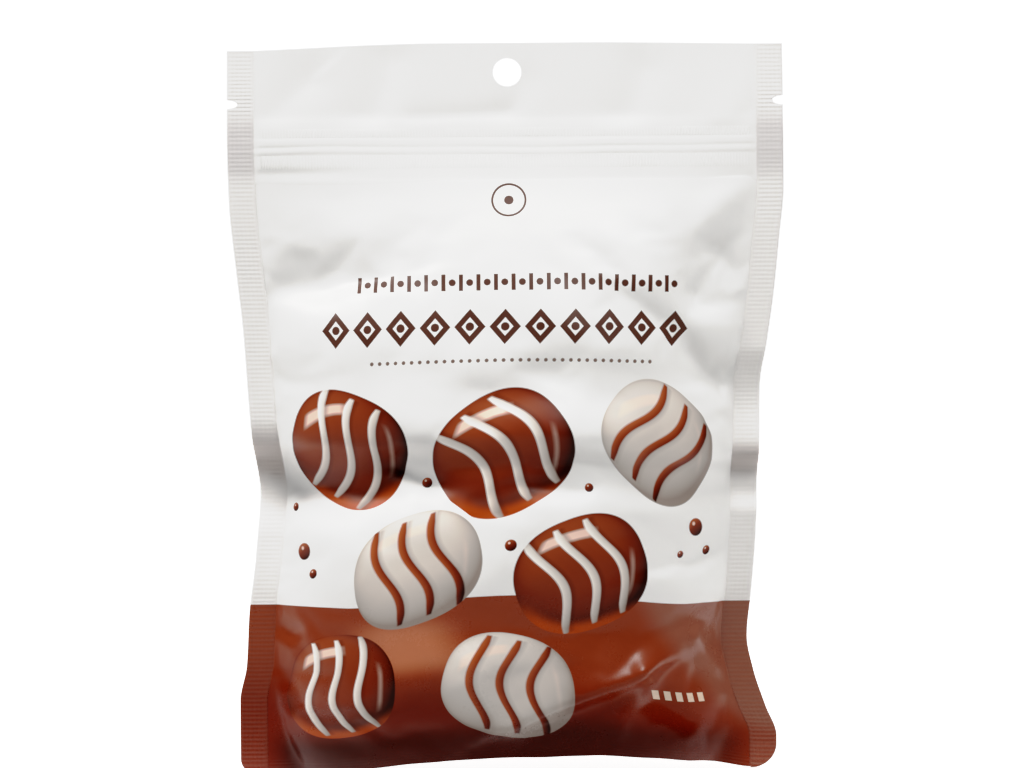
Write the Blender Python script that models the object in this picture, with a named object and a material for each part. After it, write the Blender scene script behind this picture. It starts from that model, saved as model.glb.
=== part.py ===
"""Filled stand-up pouch for sweets.

Two film panels are sealed together down both sides. A press-to-close strip crosses them below a flat
header with a hang hole and two tear notches, and a folded-in base spreads the foot of the pouch open.

Metres, +Z up. The pouch stands on z = 0 with its middle on the Z axis and its front towards -Y.
"""

import math

import bmesh
import bpy

MM = 0.001

# Flat size of the film and what is sealed, stamped or printed on it
FILM_WIDTH = 155 * MM
HEIGHT = 203 * MM
SEAL_WIDTH = 7.5 * MM
HALF_SHEET = 0.3 * MM
CORNER_RADIUS = 4 * MM
BROWN_TOP = 47 * MM

HANG_HOLE_DIAMETER = 8 * MM
HANG_HOLE_CENTRE = (0.7 * MM, 194.8 * MM)
NOTCH_HEIGHT = 186.6 * MM
NOTCH_DEPTH = 2.9 * MM
NOTCH_OPENING = 2.6 * MM

# Press-to-close strip
ZIP_BOTTOM = 166.6 * MM
ZIP_TOP = 180.6 * MM
ZIP_HALF_THICKNESS = 1.3 * MM
ZIP_EDGE = 1.5 * MM
ZIP_CRUSHED_SHARE = 0.96

# Foot: the corners are sealed flat further in, and the front and back edges arch up between them.
# The pouch stands on the two flat ends of the foot.
EAR_WIDTH = 10 * MM
EAR_HEIGHT = 35 * MM
ARCH_RISE = 5.4 * MM
ARCH_MIDDLE = 3 * MM
ARCH_HALF_SPAN = 47 * MM
ARCH_POWER = 1.5
ARCH_FADE_HEIGHT = 150 * MM
FOOT_FULLNESS = 1.3
FOOT_FULLNESS_HEIGHT = 30 * MM

# Folded-in base: shares of the way from its middle to its edge, and how far it is tucked up in the middle
SKIRT_INNER_SHARE = 0.965
TUCK_SHARE = 0.8
TUCK_RISE = 2.2 * MM

# Side edges as (height, distance from the middle) in millimetres: filled, the film draws in
LEFT_EDGE = [
    (0, 74.9), (20, 74.9), (30, 73.0), (44, 72.2), (60, 70.3), (77, 69.3), (90, 70.8),
    (105, 72.0), (124, 73.4), (140, 75.2), (160, 77.1), (178, 77.5), (203, 77.5),
]
RIGHT_EDGE = [
    (0, 74.3), (9, 74.3), (18, 71.2), (28, 68.0), (37, 66.4), (50, 67.6), (64, 68.8), (95, 70.2),
    (108, 70.7), (120, 72.6), (133, 74.5), (148, 76.1), (163, 77.5), (203, 77.5),
]

# How far a panel stands out from the seam at its middle, as (height, depth) in millimetres
BELLY = [
    (0, 15.5), (10, 18.4), (20, 22.0), (36, 26.2), (54, 27.4), (76, 27.0), (96, 25.0), (112, 22.0),
    (128, 17.6), (142, 12.4), (154, 7.4), (163, 3.0), (167, 1.0), (172, 0.4), (178, 0), (203, 0),
]

# The sealed sides wander off the middle plane, as (height, distance towards the back) in millimetres
LEFT_SWAY = [(0, 0), (50, -0.4), (66, 0.8), (78, 2.6), (92, 0.6), (110, -0.6), (140, 0), (203, 0)]
RIGHT_SWAY = [(0, 0), (20, 0.4), (37, 2.2), (54, 0.4), (84, -0.4), (106, 1.8), (124, 0), (203, 0)]
HEADER_LEAN = [(0, 0), (150, 0), (172, 0.3), (203, 2.2)]

# The top edge is lowest at the corners, as (share of the way across, drop) with the drop in millimetres
TOP_DROP = [(-1, 1.7), (-0.3, 0), (0.3, 0), (1, 0.7)]

# Folds pressed into a panel: start and end (across, height), half width and height, in millimetres.
# A fold with a negative height is a hollow. Folds fade out towards the side seals and below the strip.
FOLD_FADE_POWER = 8
FOLD_FADE_HEIGHT = 8 * MM
FRONT_FOLDS = [
    ((-62, 150), (-32, 141), 10.0, -2.6),
    ((-66, 131), (-30, 133), 5.0, 1.1),
    ((67, 160), (48, 131), 7.0, -2.8),
    ((70, 140), (60, 124), 6.0, 1.4),
    ((69, 116), (60, 108), 5.5, -1.9),
    ((-68, 80), (-54, 90), 5.5, -2.2),
    ((-66, 70), (-48, 66), 8.0, 0.9),
    ((3, 13), (32, 26), 5.0, 1.6),
    ((18, 6), (44, 16), 6.0, -1.3),
    ((54, 36), (66, 18), 4.5, 1.5),
    ((46, 32), (58, 12), 5.0, -1.2),
    ((-62, 41), (-52, 38), 4.5, -0.9),
]
BACK_FOLDS = [
    ((60, 152), (24, 139), 10.0, -2.4),
    ((-66, 158), (-44, 134), 8.0, -2.2),
    ((-68, 106), (-52, 98), 6.0, -1.8),
    ((67, 79), (52, 88), 5.5, -2.0),
    ((-14, 30), (-40, 18), 6.0, 1.4),
    ((30, 34), (46, 14), 6.0, -1.3),
]

# Fineness of the mesh, and how far a cutter reaches past what it cuts
INNER_COLUMNS = 32
BELLY_ROW_SPACING = 4.6 * MM
HEADER_ROWS = 4
HOLE_SIDES = 32
NOTCH_STEPS = 8
CORNER_ANGLES = (0, 35, 65, 90)
SMOOTH_ANGLE = math.radians(35)
STRAIGHT_ANGLE = 1e-4
CUTTER_OVERHANG = 1 * MM
CUTTER_REACH = 10 * MM

FRONT, BACK = -1, 1


def interpolate(stations, position):
    """Smooth curve through (position, value) stations that never overshoots between them."""
    position = min(max(position, stations[0][0]), stations[-1][0])
    index = max(i for i in range(len(stations) - 1) if stations[i][0] <= position)
    spans = [after[0] - before[0] for before, after in zip(stations, stations[1:])]
    slopes = [
        (after[1] - before[1]) / span
        for (before, after), span in zip(zip(stations, stations[1:]), spans)
    ]

    def tangent(at):
        if at == 0:
            return slopes[0]
        if at == len(stations) - 1:
            return slopes[-1]
        below, above = slopes[at - 1], slopes[at]
        if below * above <= 0:
            return 0.0
        weight_below = 2 * spans[at] + spans[at - 1]
        weight_above = spans[at] + 2 * spans[at - 1]
        return (weight_below + weight_above) / (weight_below / below + weight_above / above)

    span = spans[index]
    t = (position - stations[index][0]) / span
    return (
        (1 + 2 * t) * (1 - t) ** 2 * stations[index][1]
        + t * (1 - t) ** 2 * span * tangent(index)
        + t * t * (3 - 2 * t) * stations[index + 1][1]
        + t * t * (t - 1) * span * tangent(index + 1)
    )


def at_height(stations, height):
    """Value in metres of stations given in millimetres."""
    return interpolate(stations, height / MM) * MM


def ramp(start, end, value):
    """0 before start, 1 after end, smooth between."""
    t = min(max((value - start) / (end - start), 0.0), 1.0)
    return t * t * (3 - 2 * t)


def corner_trim(height):
    """How far the rounded bottom corner cuts into the side at this height."""
    if height >= CORNER_RADIUS:
        return 0.0
    return CORNER_RADIUS - math.sqrt(CORNER_RADIUS**2 - (CORNER_RADIUS - height) ** 2)


def arc_point(share, half_chord, rise):
    """Point at a share (-1 to 1) along the arc over a chord, as (across, outwards)."""
    half_angle = 2 * math.atan2(rise, half_chord)
    if half_angle < STRAIGHT_ANGLE:
        return half_chord * share, 0.0
    across = half_chord * math.sin(half_angle * share) / math.sin(half_angle)
    end = math.cos(half_angle)
    return across, rise * (math.cos(half_angle * share) - end) / (1 - end)


def fold_height(folds, across, height):
    """Height in metres that the folds add to a panel at this place."""
    total = 0.0
    x, z = across / MM, height / MM
    for (x0, z0), (x1, z1), half_width, rise in folds:
        dx, dz = x1 - x0, z1 - z0
        along = ((x - x0) * dx + (z - z0) * dz) / (dx * dx + dz * dz)
        along = min(max(along, 0.0), 1.0)
        distance = math.hypot(x - x0 - along * dx, z - z0 - along * dz)
        total += rise * math.exp(-((distance / half_width) ** 2))
    return total * MM


def zip_relief(height, share):
    """Outward height of the press-to-close strip, which the side seals crush flat."""
    above_bottom = ramp(ZIP_BOTTOM - ZIP_EDGE, ZIP_BOTTOM, height)
    below_top = 1 - ramp(ZIP_TOP - ZIP_EDGE, ZIP_TOP, height)
    crushed = ramp(ZIP_CRUSHED_SHARE, 1.0, abs(share))
    return ZIP_HALF_THICKNESS * above_bottom * below_top * (1 - crushed)


def panel_point(facing, share, height):
    """Point of a panel at a height.

    A share from -1 to 1 lies between the side seals, and -2 and 2 are the outer edges.
    """
    inner = min(max(share, -1.0), 1.0)
    left = at_height(LEFT_EDGE, height) - corner_trim(height)
    right = at_height(RIGHT_EDGE, height) - corner_trim(height)
    middle = (right - left) / 2
    sealed = SEAL_WIDTH + EAR_WIDTH * max(1 - height / EAR_HEIGHT, 0.0) ** 2
    half_chord = (left + right) / 2 - sealed
    belly = at_height(BELLY, height)
    across, outwards = arc_point(inner, half_chord, belly)
    fullness = FOOT_FULLNESS * (1 - ramp(0, FOOT_FULLNESS_HEIGHT, height))
    outwards += fullness * belly * (inner**2 - abs(inner) ** 3)
    if abs(share) > 1:
        across = math.copysign((left + right) / 2, share)
    x = middle + across

    folds = FRONT_FOLDS if facing == FRONT else BACK_FOLDS
    free = 1 - inner**FOLD_FADE_POWER
    free *= 1 - ramp(ZIP_BOTTOM - FOLD_FADE_HEIGHT, ZIP_BOTTOM, height)
    outwards += fold_height(folds, x, height) * free
    outwards = max(outwards, 0.0) + zip_relief(height, inner)

    sway = at_height(LEFT_SWAY, height) * (1 - inner) / 2
    sway += at_height(RIGHT_SWAY, height) * (1 + inner) / 2
    y = facing * (outwards + HALF_SHEET) + sway + at_height(HEADER_LEAN, height)

    arch = ARCH_RISE * arch_share(x)
    drop = interpolate(TOP_DROP, inner) * MM
    z = height + arch * (1 - ramp(0, ARCH_FADE_HEIGHT, height)) - drop * ramp(ZIP_TOP, HEIGHT, height)
    return x, y, z


def arch_share(x):
    """How much of the foot's arch stands at this place, from 1 in its middle to 0 on the flat ends."""
    return max(1 - ((x - ARCH_MIDDLE) / ARCH_HALF_SPAN) ** 2, 0.0) ** ARCH_POWER


def gusset_point(front, back, share):
    """Point of the base at a share of the way from its front edge to its back edge."""
    x, y, z = front.lerp(back, share)
    edge = abs(2 * share - 1)
    tucked = TUCK_RISE * arch_share(x) * (1 - ramp(TUCK_SHARE, SKIRT_INNER_SHARE, edge))
    return x, y, z + tucked


def row_heights():
    """Heights of the mesh rows, close together at the rounded corners, the folds and the strip."""
    corner = [CORNER_RADIUS * (1 - math.cos(math.radians(angle))) for angle in CORNER_ANGLES]
    fixed = [corner[-1], BROWN_TOP, ZIP_BOTTOM - ZIP_EDGE]
    heights = corner[:-1]
    for low, high in zip(fixed, fixed[1:]):
        count = round((high - low) / BELLY_ROW_SPACING)
        heights += [low + (high - low) * i / count for i in range(count)]
    heights += [ZIP_BOTTOM - ZIP_EDGE, ZIP_BOTTOM, ZIP_TOP - ZIP_EDGE, ZIP_TOP]
    heights += [ZIP_TOP + (HEIGHT - ZIP_TOP) * i / HEADER_ROWS for i in range(1, HEADER_ROWS + 1)]
    return heights


def gusset_shares():
    """Places of the base's rows from its front edge to its back edge, the skirt's inner edges among them."""
    edges = [SKIRT_INNER_SHARE, (SKIRT_INNER_SHARE + TUCK_SHARE) / 2, TUCK_SHARE, TUCK_SHARE / 2]
    return [(1 - edge) / 2 for edge in edges] + [0.5] + [(1 + edge) / 2 for edge in reversed(edges)]


def make_pouch(materials):
    """Closed body of both panels, their sealed sides and top, and the folded-in base."""
    heights = row_heights()
    shares = [-2.0] + [-1 + 2 * i / INNER_COLUMNS for i in range(INNER_COLUMNS + 1)] + [2.0]
    bm = bmesh.new()

    front = [[bm.verts.new(panel_point(FRONT, share, height)) for share in shares] for height in heights]
    back = [[bm.verts.new(panel_point(BACK, share, height)) for share in shares] for height in heights]
    for row in range(len(heights) - 1):
        for column in range(len(shares) - 1):
            for grid in (front, back):
                below = grid[row][column : column + 2]
                above = grid[row + 1][column : column + 2]
                quad = [*below, *reversed(above)]
                bm.faces.new(quad if grid is front else reversed(quad))
        bm.faces.new([front[row][-1], back[row][-1], back[row + 1][-1], front[row + 1][-1]])
        bm.faces.new([back[row][0], front[row][0], front[row + 1][0], back[row + 1][0]])
    for column in range(len(shares) - 1):
        bm.faces.new([front[-1][column], front[-1][column + 1], back[-1][column + 1], back[-1][column]])

    add_base(bm, front[0], back[0])
    bmesh.ops.recalc_face_normals(bm, faces=bm.faces)

    mesh = bpy.data.meshes.new("pouch")
    bm.to_mesh(mesh)
    bm.free()
    for material in materials:
        mesh.materials.append(material)
    for polygon in mesh.polygons:
        polygon.material_index = 1 if polygon.center.z < BROWN_TOP + ARCH_RISE / 2 else 0
    mesh.shade_smooth()
    mesh.set_sharp_from_angle(angle=SMOOTH_ANGLE)
    pouch = bpy.data.objects.new("pouch", mesh)
    bpy.context.scene.collection.objects.link(pouch)
    return pouch


def add_base(bm, front_edge, back_edge):
    """Fill between the bottom edges: flat sealed corners, and the recessed base between them."""
    last = len(front_edge) - 1
    for column in (0, last - 1):
        bm.faces.new(
            [front_edge[column], back_edge[column], back_edge[column + 1], front_edge[column + 1]]
        )
    lines = []
    for column in range(2, last - 1):
        front, back = front_edge[column], back_edge[column]
        inner = [bm.verts.new(gusset_point(front.co, back.co, share)) for share in gusset_shares()]
        lines.append([front] + inner + [back])
    for line, following in zip(lines, lines[1:]):
        for i in range(len(line) - 1):
            bm.faces.new([line[i], line[i + 1], following[i + 1], following[i]])
    for line, column in ((lines[0], 1), (lines[-1], last - 1)):
        middle = len(line) // 2
        for i in range(middle):
            bm.faces.new([front_edge[column], line[i], line[i + 1]])
        for i in range(middle, len(line) - 1):
            bm.faces.new([back_edge[column], line[i], line[i + 1]])
        bm.faces.new([front_edge[column], line[middle], back_edge[column]])


def make_cutter(name, outline):
    """Prism of an (across, height) outline that runs through the header from front to back."""
    bm = bmesh.new()
    face = bm.faces.new([bm.verts.new((x, -CUTTER_REACH, z)) for x, z in outline])
    extruded = bmesh.ops.extrude_face_region(bm, geom=[face])
    moved = [item for item in extruded["geom"] if isinstance(item, bmesh.types.BMVert)]
    bmesh.ops.translate(bm, verts=moved, vec=(0, 2 * CUTTER_REACH, 0))
    bmesh.ops.recalc_face_normals(bm, faces=bm.faces)
    mesh = bpy.data.meshes.new(name)
    bm.to_mesh(mesh)
    bm.free()
    cutter = bpy.data.objects.new(name, mesh)
    cutter.hide_render = True
    cutter.display_type = "WIRE"
    bpy.context.scene.collection.objects.link(cutter)
    return cutter


def hang_hole_outline():
    """Circle of the punched hang hole."""
    centre_x, centre_z = HANG_HOLE_CENTRE
    radius = HANG_HOLE_DIAMETER / 2
    angles = [2 * math.pi * i / HOLE_SIDES for i in range(HOLE_SIDES)]
    return [(centre_x + radius * math.cos(a), centre_z + radius * math.sin(a)) for a in angles]


def notch_outline(side):
    """Half ellipse that points inwards from the side edge."""
    edge = FILM_WIDTH / 2
    mouth = edge + CUTTER_OVERHANG
    points = [(mouth, NOTCH_OPENING / 2)]
    for i in range(NOTCH_STEPS + 1):
        angle = math.pi * (0.5 + i / NOTCH_STEPS)
        points.append((edge + NOTCH_DEPTH * math.cos(angle), NOTCH_OPENING / 2 * math.sin(angle)))
    points.append((mouth, -NOTCH_OPENING / 2))
    return [(side * x, NOTCH_HEIGHT + z) for x, z in points]


def film_material(name, colour, roughness):
    """Printed plastic film of one colour."""
    material = bpy.data.materials.new(name)
    material.use_nodes = True
    shader = material.node_tree.nodes["Principled BSDF"]
    shader.inputs["Base Color"].default_value = (*colour, 1)
    shader.inputs["Roughness"].default_value = roughness
    shader.inputs["Metallic"].default_value = 0.0
    return material


def main():
    """Build the pouch and stamp its hole and notches."""
    for item in list(bpy.data.objects):
        bpy.data.objects.remove(item)

    white = film_material("white_film", (0.84, 0.82, 0.80), 0.38)
    brown = film_material("brown_film", (0.19, 0.042, 0.018), 0.30)
    pouch = make_pouch([white, brown])

    cutters = [
        make_cutter("hang_hole_cutter", hang_hole_outline()),
        make_cutter("tear_notch_cutter_left", notch_outline(-1)),
        make_cutter("tear_notch_cutter_right", notch_outline(1)),
    ]
    for cutter in cutters:
        cut = pouch.modifiers.new(cutter.name, "BOOLEAN")
        cut.operation = "DIFFERENCE"
        cut.object = cutter


main()
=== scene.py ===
"""Dress of a sealed stand-up pouch of sweets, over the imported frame.

The two printed panels and the folded-in base are one skin of film, puffed out by cloth simulation.
Ribbed side seals hold it, and a flat header carries the press-to-close strip, the hang hole and the
tear notches. The flat film has its own map, across and up in millimetres, and all print lies on it.

Sizes are in millimetres unless a name says otherwise. Meshes are in metres, front towards -Y.
"""

import logging
import math
from collections.abc import Callable
from dataclasses import asdict, dataclass
from enum import Enum

import bmesh
import bpy
import numpy as np
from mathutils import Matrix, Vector


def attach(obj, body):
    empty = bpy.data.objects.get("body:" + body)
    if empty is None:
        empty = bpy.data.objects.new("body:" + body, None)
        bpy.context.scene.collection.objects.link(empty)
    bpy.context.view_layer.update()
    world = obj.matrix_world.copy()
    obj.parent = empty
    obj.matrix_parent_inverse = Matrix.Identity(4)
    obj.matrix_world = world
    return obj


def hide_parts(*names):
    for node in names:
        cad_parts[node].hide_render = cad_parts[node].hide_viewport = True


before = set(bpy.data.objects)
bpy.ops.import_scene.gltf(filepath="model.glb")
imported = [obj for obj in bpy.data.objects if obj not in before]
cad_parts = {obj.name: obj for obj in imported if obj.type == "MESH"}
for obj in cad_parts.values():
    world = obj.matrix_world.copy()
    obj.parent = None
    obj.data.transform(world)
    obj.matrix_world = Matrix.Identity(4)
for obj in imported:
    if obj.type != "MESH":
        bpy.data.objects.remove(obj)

LOG = logging.getLogger("pouch")

MM = 0.001
NODE = "pouch"
BODY = "root"
FILM_MAP = "film"
BACK_MAP_SHIFT = 1000.0
BASE_MAP_DEPTH = 30.0
NEAR = 1e-4

Triple = tuple[float, float, float]
Colour = Triple


class Face(Enum):
    """Side of the pouch, with its direction along Y."""

    FRONT = -1
    BACK = 1


class Side(Enum):
    """Edge of the pouch, with its direction along X."""

    LEFT = -1
    RIGHT = 1


def smooth_step(start: float, end: float, value: np.ndarray) -> np.ndarray:
    """Smooth climb between two places.

    Args:
        start: Place up to which the result is 0.
        end: Place from which the result is 1.
        value: Places to look up.

    Returns:
        Shares from 0 to 1.
    """
    share = np.clip((value - start) / (end - start), 0.0, 1.0)
    return share * share * (3 - 2 * share)


def ridges(places: np.ndarray, pitch: float) -> np.ndarray:
    """Row of rounded ridges, 0 between them and 1 on their crests."""
    return 0.5 + 0.5 * np.cos(2 * math.pi * places / pitch)


@dataclass(frozen=True)
class Profile:
    """Smooth curve through (place, value) stations that never overshoots between them."""

    stations: tuple[tuple[float, float], ...]

    def at(self, places: np.ndarray) -> np.ndarray:
        """Read the curve.

        Args:
            places: Places along the curve.

        Returns:
            The curve's value at each place.
        """
        knots = np.array([place for place, _ in self.stations], float)
        values = np.array([value for _, value in self.stations], float)
        spans = np.diff(knots)
        slopes = np.diff(values) / spans
        tangents = np.concatenate([slopes[:1], np.zeros(len(knots) - 2), slopes[-1:]])
        for i in range(1, len(knots) - 1):
            below, above = slopes[i - 1], slopes[i]
            if below * above > 0:
                weight_below = 2 * spans[i] + spans[i - 1]
                weight_above = spans[i] + 2 * spans[i - 1]
                tangents[i] = (weight_below + weight_above) / (weight_below / below + weight_above / above)
        places = np.clip(places, knots[0], knots[-1])
        index = np.clip(np.searchsorted(knots, places, side="right") - 1, 0, len(spans) - 1)
        span = spans[index]
        t = (places - knots[index]) / span
        return (
            (1 + 2 * t) * (1 - t) ** 2 * values[index]
            + t * (1 - t) ** 2 * span * tangents[index]
            + t * t * (3 - 2 * t) * values[index + 1]
            + t * t * (t - 1) * span * tangents[index + 1]
        )


@dataclass(frozen=True)
class Wave:
    """Slow wave along the film, with the length that one radian takes."""

    size: float
    length: float
    phase: float = 0.0

    def at(self, places: np.ndarray) -> np.ndarray:
        """Height of the wave at each place."""
        return self.size * np.sin(places / self.length + self.phase)


@dataclass(frozen=True)
class Wear:
    """Uneven strength of a row of ribs, from a long wave and a short one."""

    depth: float
    long: float
    short: float

    def at(self, places: np.ndarray, phase: float) -> np.ndarray:
        """Strength at each place, 1 at most."""
        waves = np.sin(places / self.long + phase) * np.sin(places / self.short)
        return 1 - self.depth + self.depth * waves


@dataclass(frozen=True)
class Fold:
    """Ridge in the film from a left to a right (across, up) place, or a valley if its rise is negative.

    Each flank has its own width. A crispness of 2 is a soft fold, and 1 is a sharp crease, whose crest
    is still a little round.
    """

    start: tuple[float, float]
    end: tuple[float, float]
    upper_width: float
    lower_width: float
    rise: float
    crispness: float = 2.0
    crest: float = 0.35

    def height(self, across: np.ndarray, up: np.ndarray) -> np.ndarray:
        """Read the ridge.

        Args:
            across: Places across.
            up: Heights.

        Returns:
            Height of the ridge at each place.
        """
        run_x, run_z = self.end[0] - self.start[0], self.end[1] - self.start[1]
        length = math.hypot(run_x, run_z)
        from_x, from_z = across - self.start[0], up - self.start[1]
        along = np.clip((from_x * run_x + from_z * run_z) / length**2, 0.0, 1.0)
        distance = np.hypot(from_x - along * run_x, from_z - along * run_z)
        above = smooth_step(-1.0, 1.0, (from_z * run_x - from_x * run_z) / length)
        width = self.lower_width + (self.upper_width - self.lower_width) * above
        rounded = np.hypot(distance, self.crest) - self.crest
        return self.rise * np.exp(-((rounded / width) ** self.crispness))


@dataclass(frozen=True)
class PouchForm:
    """Shape of the filled pouch: where each place of the flat film ends up.

    The foot has an ear of sealed film at each end and an arch between them. Film that runs on under a
    side seal sinks into it, and folds keep off the strip and the seals that hold the film.
    """

    film_width: float = 155.0
    height: float = 203.0
    seal_width: float = 7.5
    half_sheet: float = 0.3
    zip_bottom: float = 166.6
    zip_top: float = 180.6
    ear_width: float = 10.0
    ear_height: float = 35.0
    arch_rise: float = 5.4
    arch_middle: float = 3.0
    arch_half_span: float = 47.0
    arch_fade_height: float = 150.0
    foot_fullness: float = 1.3
    foot_fullness_height: float = 30.0
    skirt_inner_share: float = 0.965
    tuck_share: float = 0.8
    tuck_rise: float = 8.0
    lift_fade_height: float = 22.0
    seal_cover: float = 0.12
    seal_cover_width: float = 0.3
    strip_fade: float = 0.75
    strip_fade_from: float = 0.975
    strip_drift: tuple[Wave, ...] = (Wave(0.22, 19.0, 1.0), Wave(0.10, 6.3))
    strip_swell: tuple[Wave, ...] = (Wave(0.16, 13.0), Wave(0.10, 5.1, 2.0))
    mean_swell: float = 0.9
    groove_depth: float = 0.20
    groove_height: float = 166.8
    groove_width: float = 1.2
    groove_fade: tuple[float, float] = (-62.0, -30.0)
    wave_fade: float = 3.0
    wave_hold: int = 6
    fold_fade: float = 8.0
    fold_hold: int = 12
    least_room: float = 0.05
    foot_lift: Profile = Profile((
        (-62, 0), (-50, 0.9), (-40, 2.0), (-30, 1.85), (-19, 1.1), (-6, 0.5), (6, 0.45), (18, 1.5),
        (26, 2.5), (35, 3.1), (43, 3.6), (52, 3.1), (60, 1.9), (66, 0.9), (72, 0.6), (78, 0.6),
    ))
    left_edge: Profile = Profile((
        (0, 74.9), (20, 74.9), (30, 73.0), (44, 72.2), (60, 70.3), (77, 69.3), (90, 70.8),
        (105, 72.0), (124, 73.4), (140, 75.2), (160, 77.1), (178, 77.5), (203, 77.5),
    ))
    right_edge: Profile = Profile((
        (0, 74.3), (9, 74.3), (18, 71.2), (28, 68.0), (37, 66.4), (50, 67.6), (64, 68.8),
        (95, 70.2), (108, 70.7), (120, 72.6), (133, 74.5), (148, 76.1), (163, 77.5), (203, 77.5),
    ))
    belly: Profile = Profile((
        (0, 15.5), (10, 18.4), (20, 22.0), (36, 26.2), (54, 27.4), (76, 27.0), (96, 25.0),
        (112, 22.0), (128, 17.6), (142, 12.4), (153, 7.8), (160, 4.6), (166, 2.3), (172, 1.0),
        (178, 0.3), (184, 0), (203, 0),
    ))
    left_sway: Profile = Profile((
        (0, 0), (50, -0.4), (66, 1.4), (79, 5.8), (83, 6.0), (87, 5.0), (93, 0.0), (99, -1.0),
        (112, -0.6), (140, 0), (203, 0),
    ))
    right_sway: Profile = Profile((
        (0, 0), (20, 0.4), (37, 2.2), (54, 0.4), (71, 0.4), (79, 3.4), (83, 3.2), (88.5, -0.8),
        (106, 2.8), (109, 2.5), (118, 0), (140, 0), (203, 0),
    ))
    header_lean: Profile = Profile(((0, 0), (150, 0), (172, 0.3), (203, 2.2)))
    top_drop: Profile = Profile(((-1, 1.7), (-0.3, 0), (0.3, 0), (1, 0.7)))
    strip_relief: Profile = Profile((
        (165.1, 0), (168.4, 0.22), (170.0, 0.26), (171.6, 0.27), (172.6, 0.42), (173.3, 0.40),
        (173.9, 0.31), (174.6, 0.42), (175.6, 0.42), (176.7, 0.30), (179.2, 0.28), (180.4, 0.22),
        (182.6, 0),
    ))
    front_folds: tuple[Fold, ...] = (
        Fold((-76, 135.6), (-50, 134.6), 14.0, 5.0, -3.6, 1.2),
        Fold((-50, 134.6), (-28, 138), 12.0, 6.0, -1.3, 1.3),
        Fold((-66, 152), (-40, 149), 8.0, 8.0, 0.7),
        Fold((-70, 126), (-40, 124), 6.0, 10.0, 0.8),
        Fold((60, 143), (71, 153), 5.0, 7.5, -3.6, 1.15),
        Fold((52, 131.5), (60, 143), 4.6, 8.0, -2.9, 1.15),
        Fold((43, 124), (52, 131.5), 4.0, 6.0, -1.2, 1.3),
        Fold((55, 151), (66, 162), 5.0, 5.0, 0.9),
        Fold((59.5, 107.6), (74, 110.5), 6.0, 2.6, -4.4, 1.2),
        Fold((50, 116.0), (59.5, 107.6), 4.5, 3.0, -2.4, 1.2),
        Fold((56, 123), (71, 120), 5.0, 7.0, 1.2, 1.8),
        Fold((-75, 80.5), (-56, 78.0), 8.0, 2.6, -4.2, 1.2),
        Fold((-74, 92), (-58, 90), 7.0, 6.0, 1.2),
        Fold((-68, 69), (-44, 64), 8.0, 9.0, 1.5),
        Fold((-31, 85), (-21, 78.5), 3.5, 1.8, -1.9, 1.25),
        Fold((-23, 79), (-15, 72), 3.0, 4.0, -0.9, 1.3),
        Fold((-10, 97), (11, 108), 7.0, 6.0, -1.4),
        Fold((50, 58), (69, 64), 10.0, 3.2, -3.4, 1.25),
        Fold((0, 9), (37, 27), 10.0, 2.0, 4.2, 1.25),
        Fold((30, 10), (37, 27), 3.0, 4.0, 1.5, 1.3),
        Fold((-38, 20), (-12, 24), 11.0, 8.0, 2.2),
        Fold((52, 38), (70, 13), 2.6, 3.8, 3.0, 1.35),
        Fold((40, 20), (58, 9), 6.0, 5.0, -2.4, 1.6),
        Fold((-64, 41), (-60, 40), 2.6, 2.2, -1.5),
        Fold((-70, 13), (-58, 20), 4.0, 6.0, -1.6, 1.4),
    )
    back_folds: tuple[Fold, ...] = (
        Fold((24, 136), (66, 133), 11.0, 4.5, -2.9, 1.4),
        Fold((-68, 160), (-46, 130), 5.0, 9.0, -2.4, 1.4),
        Fold((-70, 102), (-54, 98), 8.0, 3.5, -2.2, 1.4),
        Fold((54, 78), (69, 76), 9.0, 3.5, -2.4, 1.3),
        Fold((-40, 18), (-12, 30), 7.0, 3.0, 1.6, 1.5),
        Fold((30, 34), (46, 14), 6.0, 5.0, -1.3),
        Fold((-30, 92), (-8, 86), 6.0, 5.0, -0.6),
    )
    header_waves: tuple[Fold, ...] = (
        Fold((-68, 182), (-55, 193), 8.0, 4.6, 1.0, 1.6),
        Fold((-37, 182), (-32, 198), 8.0, 5.0, 0.8, 1.6),
        Fold((-26, 181.8), (0, 183.4), 2.6, 1.8, 0.34, 1.5),
        Fold((2, 184), (6, 192), 5.0, 4.0, 0.4, 1.6),
        Fold((34, 181), (39, 195), 7.0, 5.0, 0.7, 1.6),
        Fold((62, 181), (69, 190), 6.0, 4.0, -0.8, 1.6),
    )

    def inner_edge(self, up: np.ndarray) -> np.ndarray:
        """Distance across the flat film from its middle to where the two panels part."""
        ear = self.ear_width * np.maximum(1 - up / self.ear_height, 0.0) ** 2
        return self.film_width / 2 - self.seal_width - ear

    def arch_share(self, x: np.ndarray) -> np.ndarray:
        """How much of the foot's arch stands at x, from 1 in its middle to 0 on the flat ends."""
        return np.maximum(1 - ((x - self.arch_middle) / self.arch_half_span) ** 2, 0.0) ** 1.5

    def point(self, face: Face, across: np.ndarray, up: np.ndarray, strip: bool = True) -> np.ndarray:
        """Places of one panel of the filled pouch.

        Args:
            face: Which panel.
            across: Distance from the middle of the flat film, towards +X.
            up: Height on the flat film.
            strip: Whether the film follows the press-to-close strip.

        Returns:
            One (x, y, z) row for each place.
        """
        inner_edge = self.inner_edge(up)
        share = np.clip(across / inner_edge, -1.0, 1.0)
        left, right = self.left_edge.at(up), self.right_edge.at(up)
        half = (left + right) / 2
        sealed = self.film_width / 2 - inner_edge
        chord = half - sealed
        angle = self.arc_angle(up)
        reach = chord * np.sin(angle * share) / np.sin(angle)
        beyond = np.maximum((np.abs(across) - inner_edge) / sealed, 0.0)
        x = (right - left) / 2 + reach + np.sign(across) * sealed * beyond

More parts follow.
